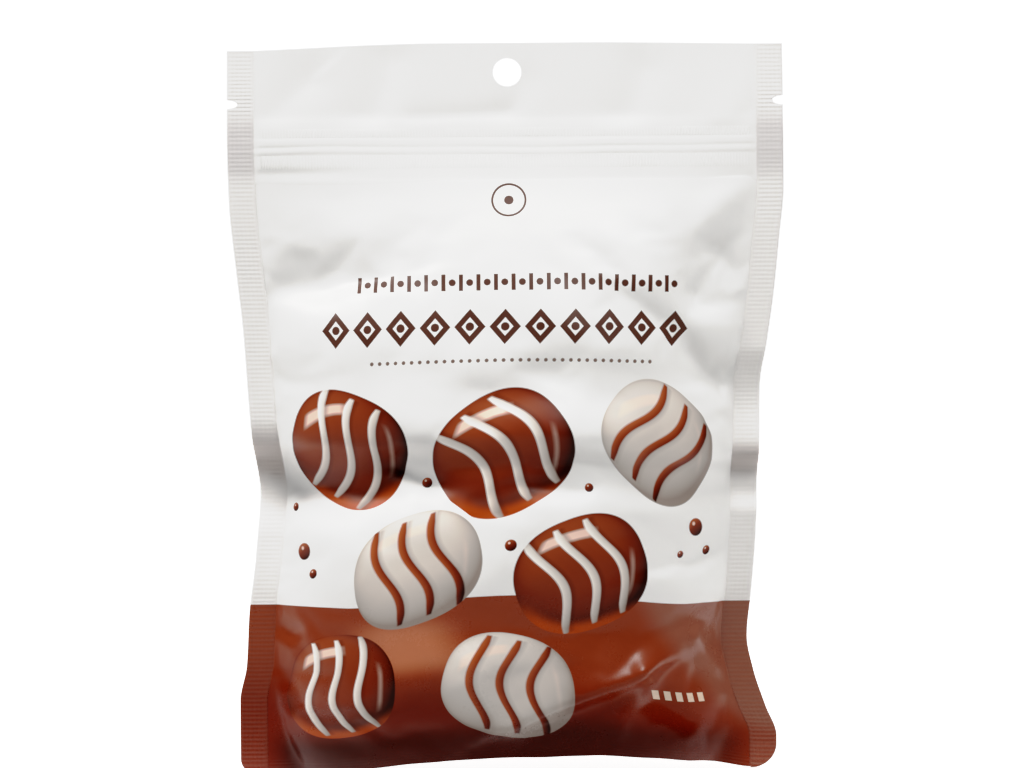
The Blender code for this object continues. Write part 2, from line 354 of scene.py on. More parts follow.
        out = self.bulge(up, share) + self.crumple(face, x, up, share)
        if strip:
            fade = self.strip_fade * smooth_step(self.strip_fade_from, 1.0, np.abs(share))
            out = out + self.strip_height(x, up) * (1 - fade)

        sway = self.left_sway.at(up) * (1 - share) / 2 + self.right_sway.at(up) * (1 + share) / 2
        waves = sum(wave.height(x, up) for wave in self.header_waves)
        waves = waves * smooth_step(self.zip_top - self.wave_fade, self.zip_top + self.wave_fade, up)
        waves = waves * (1 - share**self.wave_hold)
        y = face.value * (out + self.half_sheet) + sway + self.header_lean.at(up) + waves
        drop = self.top_drop.at(share) * smooth_step(self.zip_top, self.height, up)
        return np.stack([x, y, up + self.arch(x, up) - drop], axis=-1)

    def points(self, back: np.ndarray, across: np.ndarray, up: np.ndarray) -> np.ndarray:
        """Places on both panels, with the strip.

        Args:
            back: Whether each place is on the back panel.
            across: Distance from the middle of the flat film, towards +X.
            up: Height on the flat film.

        Returns:
            One (x, y, z) row for each place.
        """
        front_places, back_places = (self.point(face, across, up) for face in Face)
        return np.where(back[:, None], back_places, front_places)

    def sink_under_seal(self, across: np.ndarray) -> np.ndarray:
        """How far film that runs on under a side seal lies below the seal's face."""
        beyond = np.abs(across) - self.film_width / 2 + self.seal_width
        return self.seal_cover * smooth_step(0.0, self.seal_cover_width, beyond)

    def arch(self, x: np.ndarray, up: np.ndarray) -> np.ndarray:
        """Height of the foot's arch: a broad wave of the film, and a short lift of its lower edge."""
        wave = self.arch_rise * self.arch_share(x) * (1 - smooth_step(0, self.arch_fade_height, up))
        return wave + self.foot_lift.at(x) * (1 - smooth_step(0, self.lift_fade_height, up))

    def arc_angle(self, up: np.ndarray) -> np.ndarray:
        """Half the angle of the arc that a panel spans between the side seals."""
        chord = (self.left_edge.at(up) + self.right_edge.at(up) - self.film_width) / 2 + self.inner_edge(up)
        return np.maximum(2 * np.arctan2(self.belly.at(up), chord), NEAR)

    def bulge(self, up: np.ndarray, share: np.ndarray) -> np.ndarray:
        """How far the smooth panel stands out from the seam.

        Args:
            up: Height on the flat film.
            share: Share of the way from the middle of the film to a side seal.

        Returns:
            Distance from the seam at each place.
        """
        angle = self.arc_angle(up)
        belly = self.belly.at(up)
        arc = (np.cos(angle * share) - np.cos(angle)) / (1 - np.cos(angle))
        fullness = self.foot_fullness * (1 - smooth_step(0, self.foot_fullness_height, up))
        return belly * (arc + fullness * (share**2 - np.abs(share) ** 3))

    def strip_height(self, x: np.ndarray, up: np.ndarray) -> np.ndarray:
        """How far the press-to-close strip lifts the film, which follows it unevenly.

        Args:
            x: Place across the filled pouch.
            up: Height on the flat film.

        Returns:
            Height at each place, with the groove below the left end of the strip.
        """
        drift = sum(wave.at(x) for wave in self.strip_drift)
        swell = self.mean_swell + sum(wave.at(x) for wave in self.strip_swell)
        groove = self.groove_depth * np.exp(-(((up - self.groove_height) / self.groove_width) ** 2))
        groove = groove * (1 - smooth_step(*self.groove_fade, x))
        return self.strip_relief.at(up + drift) * swell - groove

    def crumple(self, face: Face, x: np.ndarray, up: np.ndarray, share: np.ndarray) -> np.ndarray:
        """Height that the folds of one panel add at each place.

        Folds fade out where the film is held, and a valley flattens out before it reaches the seam.

        Args:
            face: Which panel.
            x: Place across the filled pouch.
            up: Height on the flat film.
            share: Share of the way from the middle of the film to a side seal.

        Returns:
            Height added at each place.
        """
        folds = self.front_folds if face is Face.FRONT else self.back_folds
        below_strip = 1 - smooth_step(self.zip_bottom - self.fold_fade, self.zip_bottom, up)
        free = (1 - np.abs(share) ** self.fold_hold) * below_strip
        height = sum(fold.height(x, up) for fold in folds) * free
        room = np.maximum(self.bulge(up, share), self.least_room)
        return np.where(height < 0, room * np.expm1(np.minimum(height, 0) / room), height)

    def base_point(self, across: np.ndarray, share: np.ndarray) -> np.ndarray:
        """Places of the folded-in base.

        Args:
            across: Distance from the middle of the flat film, towards +X.
            share: Share of the way from the front edge of the base to its back edge.

        Returns:
            One (x, y, z) row for each place.
        """
        front = self.point(Face.FRONT, across, np.zeros_like(across))
        back = self.point(Face.BACK, across, np.zeros_like(across))
        place = front * (1 - share[:, None]) + back * share[:, None]
        edge = np.abs(2 * share - 1)
        tuck = 1 - smooth_step(self.tuck_share, self.skirt_inner_share, edge)
        arched = np.minimum(self.arch(place[:, 0], np.zeros_like(across)) / self.arch_rise, 1.0)
        place[:, 2] += self.tuck_rise * arched * tuck
        return place


class Bench:
    """Work on one piece at a time with Blender's own operators."""

    @staticmethod
    def deselect() -> None:
        """Leave nothing selected, and leave edit mode."""
        if bpy.context.mode != "OBJECT":
            bpy.ops.object.mode_set(mode="OBJECT")
        bpy.ops.object.select_all(action="DESELECT")

    @staticmethod
    def take(*pieces: bpy.types.Object) -> None:
        """Select these pieces alone.

        Args:
            *pieces: Pieces to select, the first of which becomes active.
        """
        Bench.deselect()
        for piece in pieces:
            piece.select_set(True)
        bpy.context.view_layer.objects.active = pieces[0]

    @staticmethod
    def sheet(name: str, columns: int, rows: int, y: float = 0.0) -> bpy.types.Object:
        """Add a flat upright grid, one unit across and one unit high, standing on z = 0.

        Args:
            name: Name of the piece and its mesh.
            columns: Faces across.
            rows: Faces up.
            y: Where the grid stands.

        Returns:
            The new piece, selected and active.
        """
        Bench.deselect()
        bpy.ops.mesh.primitive_grid_add(
            x_subdivisions=columns,
            y_subdivisions=rows,
            size=1.0,
            calc_uvs=False,
            location=(0.0, y, 0.5),
            rotation=(math.pi / 2, 0.0, 0.0),
        )
        piece = bpy.context.active_object
        piece.name = name
        piece.data.name = name
        bpy.ops.object.transform_apply(location=True, rotation=True, scale=True)
        return piece

    @staticmethod
    def slab(name: str, columns: int, rows: int) -> bpy.types.Object:
        """Add a closed upright slab with a front grid at y = -0.5 and a back grid at y = 0.5.

        Args:
            name: Name of the piece and its mesh.
            columns: Faces across.
            rows: Faces up.

        Returns:
            The new piece, selected and active.
        """
        piece = Bench.sheet(name, columns, rows, y=-0.5)
        bpy.ops.object.mode_set(mode="EDIT")
        bpy.ops.mesh.select_all(action="SELECT")
        bpy.ops.mesh.extrude_region_move(TRANSFORM_OT_translate={"value": (0.0, 1.0, 0.0)})
        Bench.turn_outwards()
        bpy.ops.object.mode_set(mode="OBJECT")
        return piece

    @staticmethod
    def turn_outwards() -> None:
        """In edit mode, turn every face of a closed shell outwards."""
        bpy.ops.mesh.select_all(action="SELECT")
        bpy.ops.mesh.normals_make_consistent(inside=False)

    @staticmethod
    def pick_edges(piece: bpy.types.Object, wanted: Callable[[bmesh.types.BMEdge], bool]) -> None:
        """In edit mode, select some edges alone.

        Args:
            piece: Piece in edit mode.
            wanted: Tells whether an edge is selected.
        """
        bpy.ops.mesh.select_mode(type="EDGE")
        bpy.ops.mesh.select_all(action="DESELECT")
        mesh = bmesh.from_edit_mesh(piece.data)
        for edge in mesh.edges:
            edge.select_set(wanted(edge))
        bmesh.update_edit_mesh(piece.data)

    @staticmethod
    def places(piece: bpy.types.Object) -> np.ndarray:
        """Read the vertices.

        Args:
            piece: Piece to read.

        Returns:
            One (x, y, z) row for each vertex.
        """
        flat = np.empty(len(piece.data.vertices) * 3)
        piece.data.vertices.foreach_get("co", flat)
        return flat.reshape(-1, 3)

    @staticmethod
    def place(piece: bpy.types.Object, places: np.ndarray) -> None:
        """Move every vertex to its place."""
        piece.data.vertices.foreach_set("co", np.ascontiguousarray(places).ravel())
        piece.data.update()

    @staticmethod
    def map_film(piece: bpy.types.Object, across: np.ndarray, up: np.ndarray, back: np.ndarray) -> None:
        """Give the piece the flat film's map.

        Args:
            piece: Piece to map.
            across: Each vertex's place across the flat film.
            up: Each vertex's height on the flat film.
            back: Whether each vertex is on the back panel, whose map stands to one side.
        """
        mesh = piece.data
        corner_vertex = np.empty(len(mesh.loops), int)
        mesh.loops.foreach_get("vertex_index", corner_vertex)
        starts = np.empty(len(mesh.polygons), int)
        totals = np.empty(len(mesh.polygons), int)
        mesh.polygons.foreach_get("loop_start", starts)
        mesh.polygons.foreach_get("loop_total", totals)
        all_back = np.logical_and.reduceat(back[corner_vertex], starts)
        shift = np.repeat(all_back, totals) * BACK_MAP_SHIFT
        corners = np.stack([across[corner_vertex] + shift, up[corner_vertex]], axis=-1)
        layer = mesh.uv_layers.new(name=FILM_MAP)
        layer.uv.foreach_set("vector", corners.astype(np.float32).ravel())

    @staticmethod
    def apply(piece: bpy.types.Object, kind: str, **settings: object) -> None:
        """Add a modifier and apply it.

        Args:
            piece: Piece to work on.
            kind: The modifier's type.
            **settings: Its settings, by name.
        """
        Bench.take(piece)
        modifier = piece.modifiers.new(kind.lower(), kind)
        for name, value in settings.items():
            setattr(modifier, name, value)
        bpy.ops.object.modifier_apply(modifier=modifier.name)

    @staticmethod
    def finish(piece: bpy.types.Object, material: bpy.types.Material, sharp: float = 40.0) -> None:
        """Shade the piece, dress it and let it ride on the pouch.

        Args:
            piece: Finished mesh.
            material: What it is made of.
            sharp: Angle in degrees from which an edge stays sharp.
        """
        Bench.take(piece)
        bpy.ops.object.shade_smooth_by_angle(angle=math.radians(sharp))
        piece.data.materials.clear()
        piece.data.materials.append(material)
        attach(piece, BODY)
        Bench.deselect()
        LOG.info("%s: %d faces", piece.name, len(piece.data.polygons))


@dataclass(frozen=True)
class FilmCloth:
    """How the film gives in the cloth simulation, in Blender's own names and units.

    Oversized film wrinkles: a negative shrink lets it grow, apart from where the calm group holds it.
    """

    quality: int = 8
    mass: float = 0.001
    tension_stiffness: float = 60
    compression_stiffness: float = 60
    shear_stiffness: float = 30
    bending_stiffness: float = 0.05
    tension_damping: float = 5
    compression_damping: float = 5
    shear_damping: float = 5
    bending_damping: float = 0.5
    air_damping: float = 1
    use_pressure: bool = True
    uniform_pressure_force: float = 14
    vertex_group_mass: str = "held"
    pin_stiffness: float = 1
    shrink_min: float = -0.009
    shrink_max: float = 0.0
    vertex_group_shrink: str = "calm"


@dataclass(frozen=True)
class FlatBox:
    """Where each vertex of the skin lies before the pouch is filled."""

    across: np.ndarray
    up: np.ndarray
    depth_share: np.ndarray

    @classmethod
    def of(cls, skin: bpy.types.Object) -> "FlatBox":
        """Read the flat box from its mesh."""
        across, depth, up = Bench.places(skin).T
        return cls(across, up, depth / BASE_MAP_DEPTH + 0.5)

    def on(self, face: Face) -> np.ndarray:
        """Tell which vertices are on a panel."""
        return self.depth_share < NEAR if face is Face.FRONT else self.depth_share > 1 - NEAR

    @property
    def base(self) -> np.ndarray:
        """Tell which vertices are on the folded-in base."""
        return ~self.on(Face.FRONT) & ~self.on(Face.BACK)


@dataclass
class FilmSkin:
    """Both panels between the side seals, with the folded-in base, as one closed skin of film.

    The simulation moves the loose film, and the creases are pressed in once more over what it gives.
    """

    form: PouchForm
    cloth: FilmCloth = FilmCloth()
    cell: float = 1.7
    base_rows: int = 20
    top: float = 166.2
    held_above: float = 164.8
    hold_margin: float = 0.3
    rim_overlap: float = 0.5
    ripple: float = 0.25
    ripple_waves: int = 40
    ripple_length: tuple[float, float] = (9.0, 34.0)
    ripple_hold: int = 6
    ripple_end: tuple[float, float] = (150.0, 163.0)
    ripple_start: float = 12.0
    seed: int = 11
    calm_from: float = 128.0
    calm_levels: int = 10
    frames: int = 20
    most_move: float = 5.0
    reinforce: float = 0.6
    settled_from: float = 146.0

    @staticmethod
    def at_foot(edge: bmesh.types.BMEdge) -> bool:
        """Tell whether an edge of the flat box lies at its foot."""
        return all(vertex.co.z < NEAR for vertex in edge.verts)

    def flat_box(self) -> bpy.types.Object:
        """Join two flat panels by the base below and by a rim at the sides and top.

        Returns:
            The closed box, its foot creased where the panels meet the base.
        """
        half = self.form.film_width / 2 - self.form.seal_width + self.rim_overlap
        columns = round(2 * half / self.cell)
        rows = round(self.top / self.cell)
        depth = BASE_MAP_DEPTH / 2
        panels = [Bench.sheet(f"film_{face.name}", columns, rows, y=face.value * depth) for face in Face]
        Bench.take(*panels)
        bpy.ops.object.join()
        skin = bpy.context.active_object
        skin.name = skin.data.name = "panel_film"
        bpy.ops.object.mode_set(mode="EDIT")
        Bench.pick_edges(skin, lambda edge: edge.is_boundary and self.at_foot(edge))
        bpy.ops.mesh.bridge_edge_loops(number_cuts=self.base_rows - 1, interpolation="LINEAR")
        Bench.pick_edges(skin, lambda edge: edge.is_boundary and not self.at_foot(edge))
        bpy.ops.mesh.bridge_edge_loops()
        bpy.ops.mesh.select_all(action="SELECT")
        bpy.ops.mesh.fill_holes(sides=0)
        Bench.turn_outwards()
        Bench.pick_edges(
            skin,
            lambda edge: self.at_foot(edge)
            and all(abs(abs(vertex.co.y) - depth) < NEAR for vertex in edge.verts),
        )
        bpy.ops.transform.edge_crease(value=1.0)
        bpy.ops.object.mode_set(mode="OBJECT")
        flat = Bench.places(skin)
        flat[:, 0] *= 2 * half
        flat[:, 2] *= self.top
        Bench.place(skin, flat)
        return skin

    def ripples(self, face: Face, across: np.ndarray, up: np.ndarray) -> np.ndarray:
        """Faint uneven waves that start the wrinkles of a panel.

        Args:
            face: Which panel.
            across: Distance from the middle of the flat film, towards +X.
            up: Height on the flat film.

        Returns:
            Height of the waves at each place, none where the film is held.
        """
        random = np.random.default_rng(self.seed + face.value)
        total = np.zeros_like(across)
        for _ in range(self.ripple_waves):
            length = random.uniform(*self.ripple_length)
            turn = random.uniform(0.0, math.pi)
            phase = random.uniform(0.0, 2 * math.pi)
            along = across * math.cos(turn) + up * math.sin(turn)
            total += np.cos(2 * math.pi * along / length + phase)
        inner_share = np.clip(np.abs(across) / self.form.inner_edge(up), 0, 1)
        free = (1 - inner_share**self.ripple_hold) * (1 - smooth_step(*self.ripple_end, up))
        free = free * smooth_step(0, self.ripple_start, up)
        return self.ripple * total / math.sqrt(self.ripple_waves) * free

    def fill(self, skin: bpy.types.Object, flat: FlatBox) -> np.ndarray:
        """Move the flat box to the filled form and map it.

        Args:
            skin: The flat box.
            flat: Where its vertices lie on the flat film.

        Returns:
            How far the creases move each vertex once more, in metres.
        """
        form = self.form
        filled = np.empty((len(flat.up), 3))
        creases = np.zeros_like(filled)
        for face in Face:
            chosen = flat.on(face)
            across, up = flat.across[chosen], flat.up[chosen]
            places = form.point(face, across, up, strip=False)
            share = np.clip(across / form.inner_edge(up), -1, 1)
            creases[chosen, 1] = face.value * self.reinforce * form.crumple(face, places[:, 0], up, share)
            places[:, 1] += self.ripples(face, across, up) - face.value * form.sink_under_seal(across)
            filled[chosen] = places
        filled[flat.base] = form.base_point(flat.across[flat.base], flat.depth_share[flat.base])
        map_up = np.where(flat.base, -flat.depth_share * BASE_MAP_DEPTH, flat.up)
        Bench.map_film(skin, flat.across, map_up, flat.on(Face.BACK))
        Bench.place(skin, filled * MM)
        return creases * MM

    def hold(self, skin: bpy.types.Object, flat: FlatBox) -> None:
        """Mark what the seals hold, and where the film is calm below the strip.

        Args:
            skin: The filled skin.
            flat: Where its vertices lie on the flat film.
        """
        sealed = np.abs(flat.across) > self.form.inner_edge(flat.up) - self.hold_margin
        held = sealed | (flat.up > self.held_above) | (~flat.base & (flat.up <= 0))
        group = skin.vertex_groups.new(name=self.cloth.vertex_group_mass)
        group.add(np.flatnonzero(held).tolist(), 1.0, "REPLACE")
        levels = np.round(smooth_step(self.calm_from, self.held_above, flat.up) * self.calm_levels)
        group = skin.vertex_groups.new(name=self.cloth.vertex_group_shrink)
        for level in range(1, self.calm_levels + 1):
            group.add(np.flatnonzero(levels == level).tolist(), level / self.calm_levels, "REPLACE")

    def puff(self, skin: bpy.types.Object, flat: FlatBox, creases: np.ndarray) -> None:
        """Let slightly oversized film settle under the pressure of the filling, and freeze it.

        Args:
            skin: The filled skin, with its groups.
            flat: Where its vertices lie on the flat film.
            creases: How far the creases move each vertex once more, in metres.
        """
        start = Bench.places(skin)
        Bench.take(skin)
        cloth = skin.modifiers.new("puff", "CLOTH")
        for name, value in asdict(self.cloth).items():
            setattr(cloth.settings, name, value)
        cloth.settings.effector_weights.gravity = 0
        cloth.collision_settings.use_collision = False
        cloth.collision_settings.use_self_collision = False
        cloth.point_cache.frame_start = 1
        cloth.point_cache.frame_end = self.frames
        scene = bpy.context.scene
        scene.frame_start = 1
        scene.frame_end = self.frames
        for number in range(1, self.frames + 1):
            scene.frame_set(number)
        bpy.ops.object.modifier_apply(modifier=cloth.name)
        scene.frame_set(1)
        moved = Bench.places(skin) - start
        distance = np.linalg.norm(moved, axis=1)
        limit = self.most_move * MM
        loose = 1 - smooth_step(self.settled_from, self.held_above, flat.up)
        scale = limit / np.maximum(distance, limit) * loose
        settled = start + moved * scale[:, None] + creases
        settled[:, 2] = np.maximum(settled[:, 2], 0.0)
        Bench.place(skin, settled)
        most, mean = distance.max() / MM, distance.mean() / MM
        LOG.info("film moved %.2f mm at most, %.2f mm on average", most, mean)

    def build(self, film: bpy.types.Material) -> None:
        """Make the skin, dress it and let it stand for the CAD solid.

        Args:
            film: The printed film.
        """
        skin = self.flat_box()
        flat = FlatBox.of(skin)
        creases = self.fill(skin, flat)
        self.hold(skin, flat)
        self.puff(skin, flat, creases)
        Bench.apply(skin, "SUBSURF", levels=1, render_levels=1, uv_smooth="NONE")
        skin.vertex_groups.clear()
        Bench.finish(skin, film)
        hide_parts(NODE)


@dataclass
class Header:
    """Flat film above the filling, shaped over the press-to-close strip and punched for a hook."""

    form: PouchForm
    bottom: float = 162.2
    blend: float = 2.4
    seam_sink: float = 0.15
    column: float = 1.0
    fine_row: float = 0.35
    coarse_row: float = 1.0
    fine_top: float = 182.2
    seal_overlap: float = 0.5
    hole_diameter: float = 8.0
    hole_centre: tuple[float, float] = (0.7, 194.8)
    hole_sides: int = 64
    punch_length: float = 20.0

    def build(self, film: bpy.types.Material) -> None:
        """Make the header, punch its hang hole and dress it.

        Args:
            film: The printed film.
        """
        form = self.form
        half = form.film_width / 2 - form.seal_width + self.seal_overlap
        columns = round(2 * half / self.column)
        fine = round((self.fine_top - self.bottom) / self.fine_row)
        coarse = round((form.height - self.fine_top) / self.coarse_row)
        heights = np.concatenate([
            np.linspace(self.bottom, self.fine_top, fine + 1),
            np.linspace(self.fine_top, form.height, coarse + 1)[1:],
        ])
        header = Bench.slab("header", columns, fine + coarse)
        unit = Bench.places(header)
        across = unit[:, 0] * 2 * half
        up = heights[np.round(unit[:, 2] * (fine + coarse)).astype(int)]
        back = unit[:, 1] > 0
        places = form.points(back, across, up)
        sunk = self.seam_sink * (1 - smooth_step(self.bottom, self.bottom + self.blend, up))
        sunk += form.sink_under_seal(across)
        places[:, 1] += np.where(back, -sunk, sunk)
        Bench.map_film(header, across, up, back)
        Bench.place(header, places * MM)
        self.punch(header)
        Bench.finish(header, film)

    def punch(self, header: bpy.types.Object) -> None:
        """Cut the round hang hole through both films.

        Args:
            header: The shaped header.
        """
        Bench.deselect()
        bpy.ops.mesh.primitive_cylinder_add(
            vertices=self.hole_sides,
            radius=self.hole_diameter / 2 * MM,
            depth=self.punch_length * MM,
            location=(self.hole_centre[0] * MM, 0.0, self.hole_centre[1] * MM),
            rotation=(math.pi / 2, 0.0, 0.0),
        )
        punch = bpy.context.active_object
        Bench.apply(header, "BOOLEAN", operation="DIFFERENCE", solver="EXACT", object=punch)
        bpy.data.objects.remove(punch)


@dataclass
class SideSeal:
    """Ribbed strip where both films are sealed together, with its tear notch and rounded foot.

    Ribs run across the strip, and finer ones cross them where the film is knurled.
    """

    form: PouchForm
    side: Side
    columns: int = 24
    row: float = 0.3
    corner_radius: float = 4.0
    corner_steps: int = 14
    squeeze_margin: float = 0.4
    notch_height: float = 186.6
    notch_depth: float = 2.9
    notch_opening: float = 2.6
    notch_row: float = 0.12
    rib_pitch: float = 1.2
    rib_height: float = 0.09
    cross_height: float = 0.04
    inner_fade: tuple[float, float] = (0.3, 0.9)
    outer_fade: tuple[float, float] = (0.15, 0.5)
    wear_and_sheen: Wear = Wear(0.25, 17.0, 5.3)
    strength: Profile = Profile(((0, 1.9), (12, 1.9), (24, 1), (203, 1)))
    knurling: Profile = Profile(((0, 1), (25, 1), (60, 0.35), (165, 0.35), (185, 0.85), (203, 0.85)))
    edge_round: float = 0.5
    edge_drop: float = 0.12

    def heights(self) -> np.ndarray:
        """Place the rows.

        Returns:
            Heights of the rows, close together at the rounded corner and the notch.
        """
        turns = np.linspace(0, math.pi / 2, self.corner_steps + 1)
        corner = self.corner_radius * (1 - np.cos(turns))
        notch_low = self.notch_height - self.notch_opening
        notch_high = self.notch_height + self.notch_opening
        parts = [corner]
        for low, high, step in (
            (self.corner_radius, notch_low, self.row),
            (notch_low, notch_high, self.notch_row),
            (notch_high, self.form.height, self.row),
        ):
            parts.append(np.linspace(low, high, round((high - low) / step) + 1)[1:])
        return np.concatenate(parts)

    def cut_back(self, up: np.ndarray) -> np.ndarray:
        """Round the lower corner and cut the tear notch.

        Args:
            up: Height on the flat film.

        Returns:
            How far the edge lies in from the side at each height.
        """
        low = np.clip(self.corner_radius - up, 0.0, self.corner_radius)
        corner = self.corner_radius - np.sqrt(self.corner_radius**2 - low**2)
        away = np.minimum(np.abs(up - self.notch_height) / (self.notch_opening / 2), 1.0)
        return corner + self.notch_depth * np.sqrt(1 - away**2)

    def relief(self, across: np.ndarray, up: np.ndarray) -> np.ndarray:
        """Shape the ribs that the sealing jaws press into the film.

        Args:
            across: Distance from the middle of the flat film, towards +X.
            up: Height on the flat film.

        Returns:
            Height of the ribs at each place.
        """
        inside = np.abs(across) - (self.form.film_width / 2 - self.form.seal_width)
        outside = self.form.film_width / 2 - np.abs(across)
        ribbed = smooth_step(*self.inner_fade, inside) * smooth_step(*self.outer_fade, outside)
        worn_and_sheen = self.wear_and_sheen.at(up, self.side.value) * self.strength.at(up)
        ribs = self.rib_height * ridges(up, self.rib_pitch)
        knurled = self.cross_height * self.knurling.at(up) * ridges(across, self.rib_pitch)
        return ribbed * worn_and_sheen * (ribs + knurled)

    def build(self, film: bpy.types.Material) -> None:
        """Make the strip and dress it.

        Args:
            film: The printed film.
        """
        form = self.form
        heights = self.heights()
        seal = Bench.slab(f"side_seal_{self.side.name.lower()}", self.columns, len(heights) - 1)
        unit = Bench.places(seal)
        up = heights[np.round(unit[:, 2] * (len(heights) - 1)).astype(int)]
        outward = (unit[:, 0] * self.side.value + 0.5) * form.seal_width
        across = self.side.value * (form.film_width / 2 - form.seal_width + outward)
        back = unit[:, 1] > 0
        places = form.points(back, across, up)
        squeezed_width = self.corner_radius + self.squeeze_margin
        squeezed = np.maximum(outward - (form.seal_width - squeezed_width), 0.0) / squeezed_width
        cut = self.side.value * self.cut_back(up) * squeezed
        places[:, 0] -= cut
        edge = 1 - np.clip((form.seal_width - outward) / self.edge_round, 0, 1)
        proud = self.relief(across - cut, up) - self.edge_drop * edge**2
        places[:, 1] += np.where(back, proud, -proud)
        Bench.map_film(seal, across - cut, up, back)
        Bench.place(seal, places * MM)
        Bench.finish(seal, film, sharp=60.0)


class Track(Enum):
    """Ribbed track of the press-to-close strip, with its lowest and highest place."""

    LOWER = (168.0, 171.7)
    UPPER = (176.7, 179.2)


@dataclass
class StripRibs:
    """Fine upright ribs along one track of the press-to-close strip."""

    form: PouchForm
    face: Face
    track: Track
    pitch: float = 0.84
    per_pitch: int = 6
    rows: int = 6
    end_gap: float = 2.0
    rib_height: float = 0.12
    lift: float = 0.015
    sunk: float = 0.15
    rim_share: float = 0.35
    wear_and_sheen: Wear = Wear(0.45, 11.0, 4.7)

    def build(self, film: bpy.types.Material) -> None:
        """Make the ribbed track and dress it.

        Args:
            film: The printed film.
        """
        form = self.form
        low, high = self.track.value
        half = form.film_width / 2 - form.seal_width - self.end_gap
        columns = round(2 * half / self.pitch * self.per_pitch)
        name = f"strip_ribs_{self.face.name}_{self.track.name}".lower()
        ribs = Bench.slab(name, columns, self.rows)
        unit = Bench.places(ribs)
        across = unit[:, 0] * 2 * half
        up = low + unit[:, 2] * (high - low)
        places = form.point(self.face, across, up)
        plump = smooth_step(0.0, self.rim_share, 1 - np.abs(2 * unit[:, 2] - 1))
        height = self.rib_height * ridges(across, self.pitch) * self.wear_and_sheen.at(across, low)
        proud = height * plump + self.lift
        places[:, 1] += self.face.value * np.where(unit[:, 1] < 0, proud, -self.sunk)
        Bench.map_film(ribs, across, up, np.full(len(unit), self.face is Face.BACK))
        Bench.place(ribs, places * MM)
        if self.face is Face.BACK:
            Bench.take(ribs)
            bpy.ops.object.mode_set(mode="EDIT")
            bpy.ops.mesh.select_all(action="SELECT")
            bpy.ops.mesh.flip_normals()
            bpy.ops.object.mode_set(mode="OBJECT")
        Bench.finish(ribs, film)


class Term:
    """A number that varies over a surface, which takes part in Python sums as Math nodes."""

    def __init__(self, board: "NodeBoard", socket: bpy.types.NodeSocket) -> None:
        """Wrap a socket of a board's node."""
        self.board = board
        self.socket = socket

    def __add__(self, other: "Number") -> "Term":
        """Add."""
        return self.board.math("ADD", self, other)

    def __radd__(self, other: "Number") -> "Term":
        """Add."""
        return self.board.math("ADD", other, self)

    def __sub__(self, other: "Number") -> "Term":
        """Subtract."""
        return self.board.math("SUBTRACT", self, other)

    def __rsub__(self, other: "Number") -> "Term":
        """Subtract from."""
        return self.board.math("SUBTRACT", other, self)

    def __mul__(self, other: "Number") -> "Term":
        """Multiply."""
        return self.board.math("MULTIPLY", self, other)

    def __rmul__(self, other: "Number") -> "Term":
        """Multiply."""
        return self.board.math("MULTIPLY", other, self)

    def __truediv__(self, other: "Number") -> "Term":
        """Divide."""
        return self.board.math("DIVIDE", self, other)

    def __pow__(self, other: "Number") -> "Term":
        """Raise to a power."""
        return self.board.math("POWER", self, other)

    def __abs__(self) -> "Term":
        """Distance from zero."""
        return self.board.math("ABSOLUTE", self)


Number = Term | float | int
Tone = bpy.types.NodeSocket | Colour


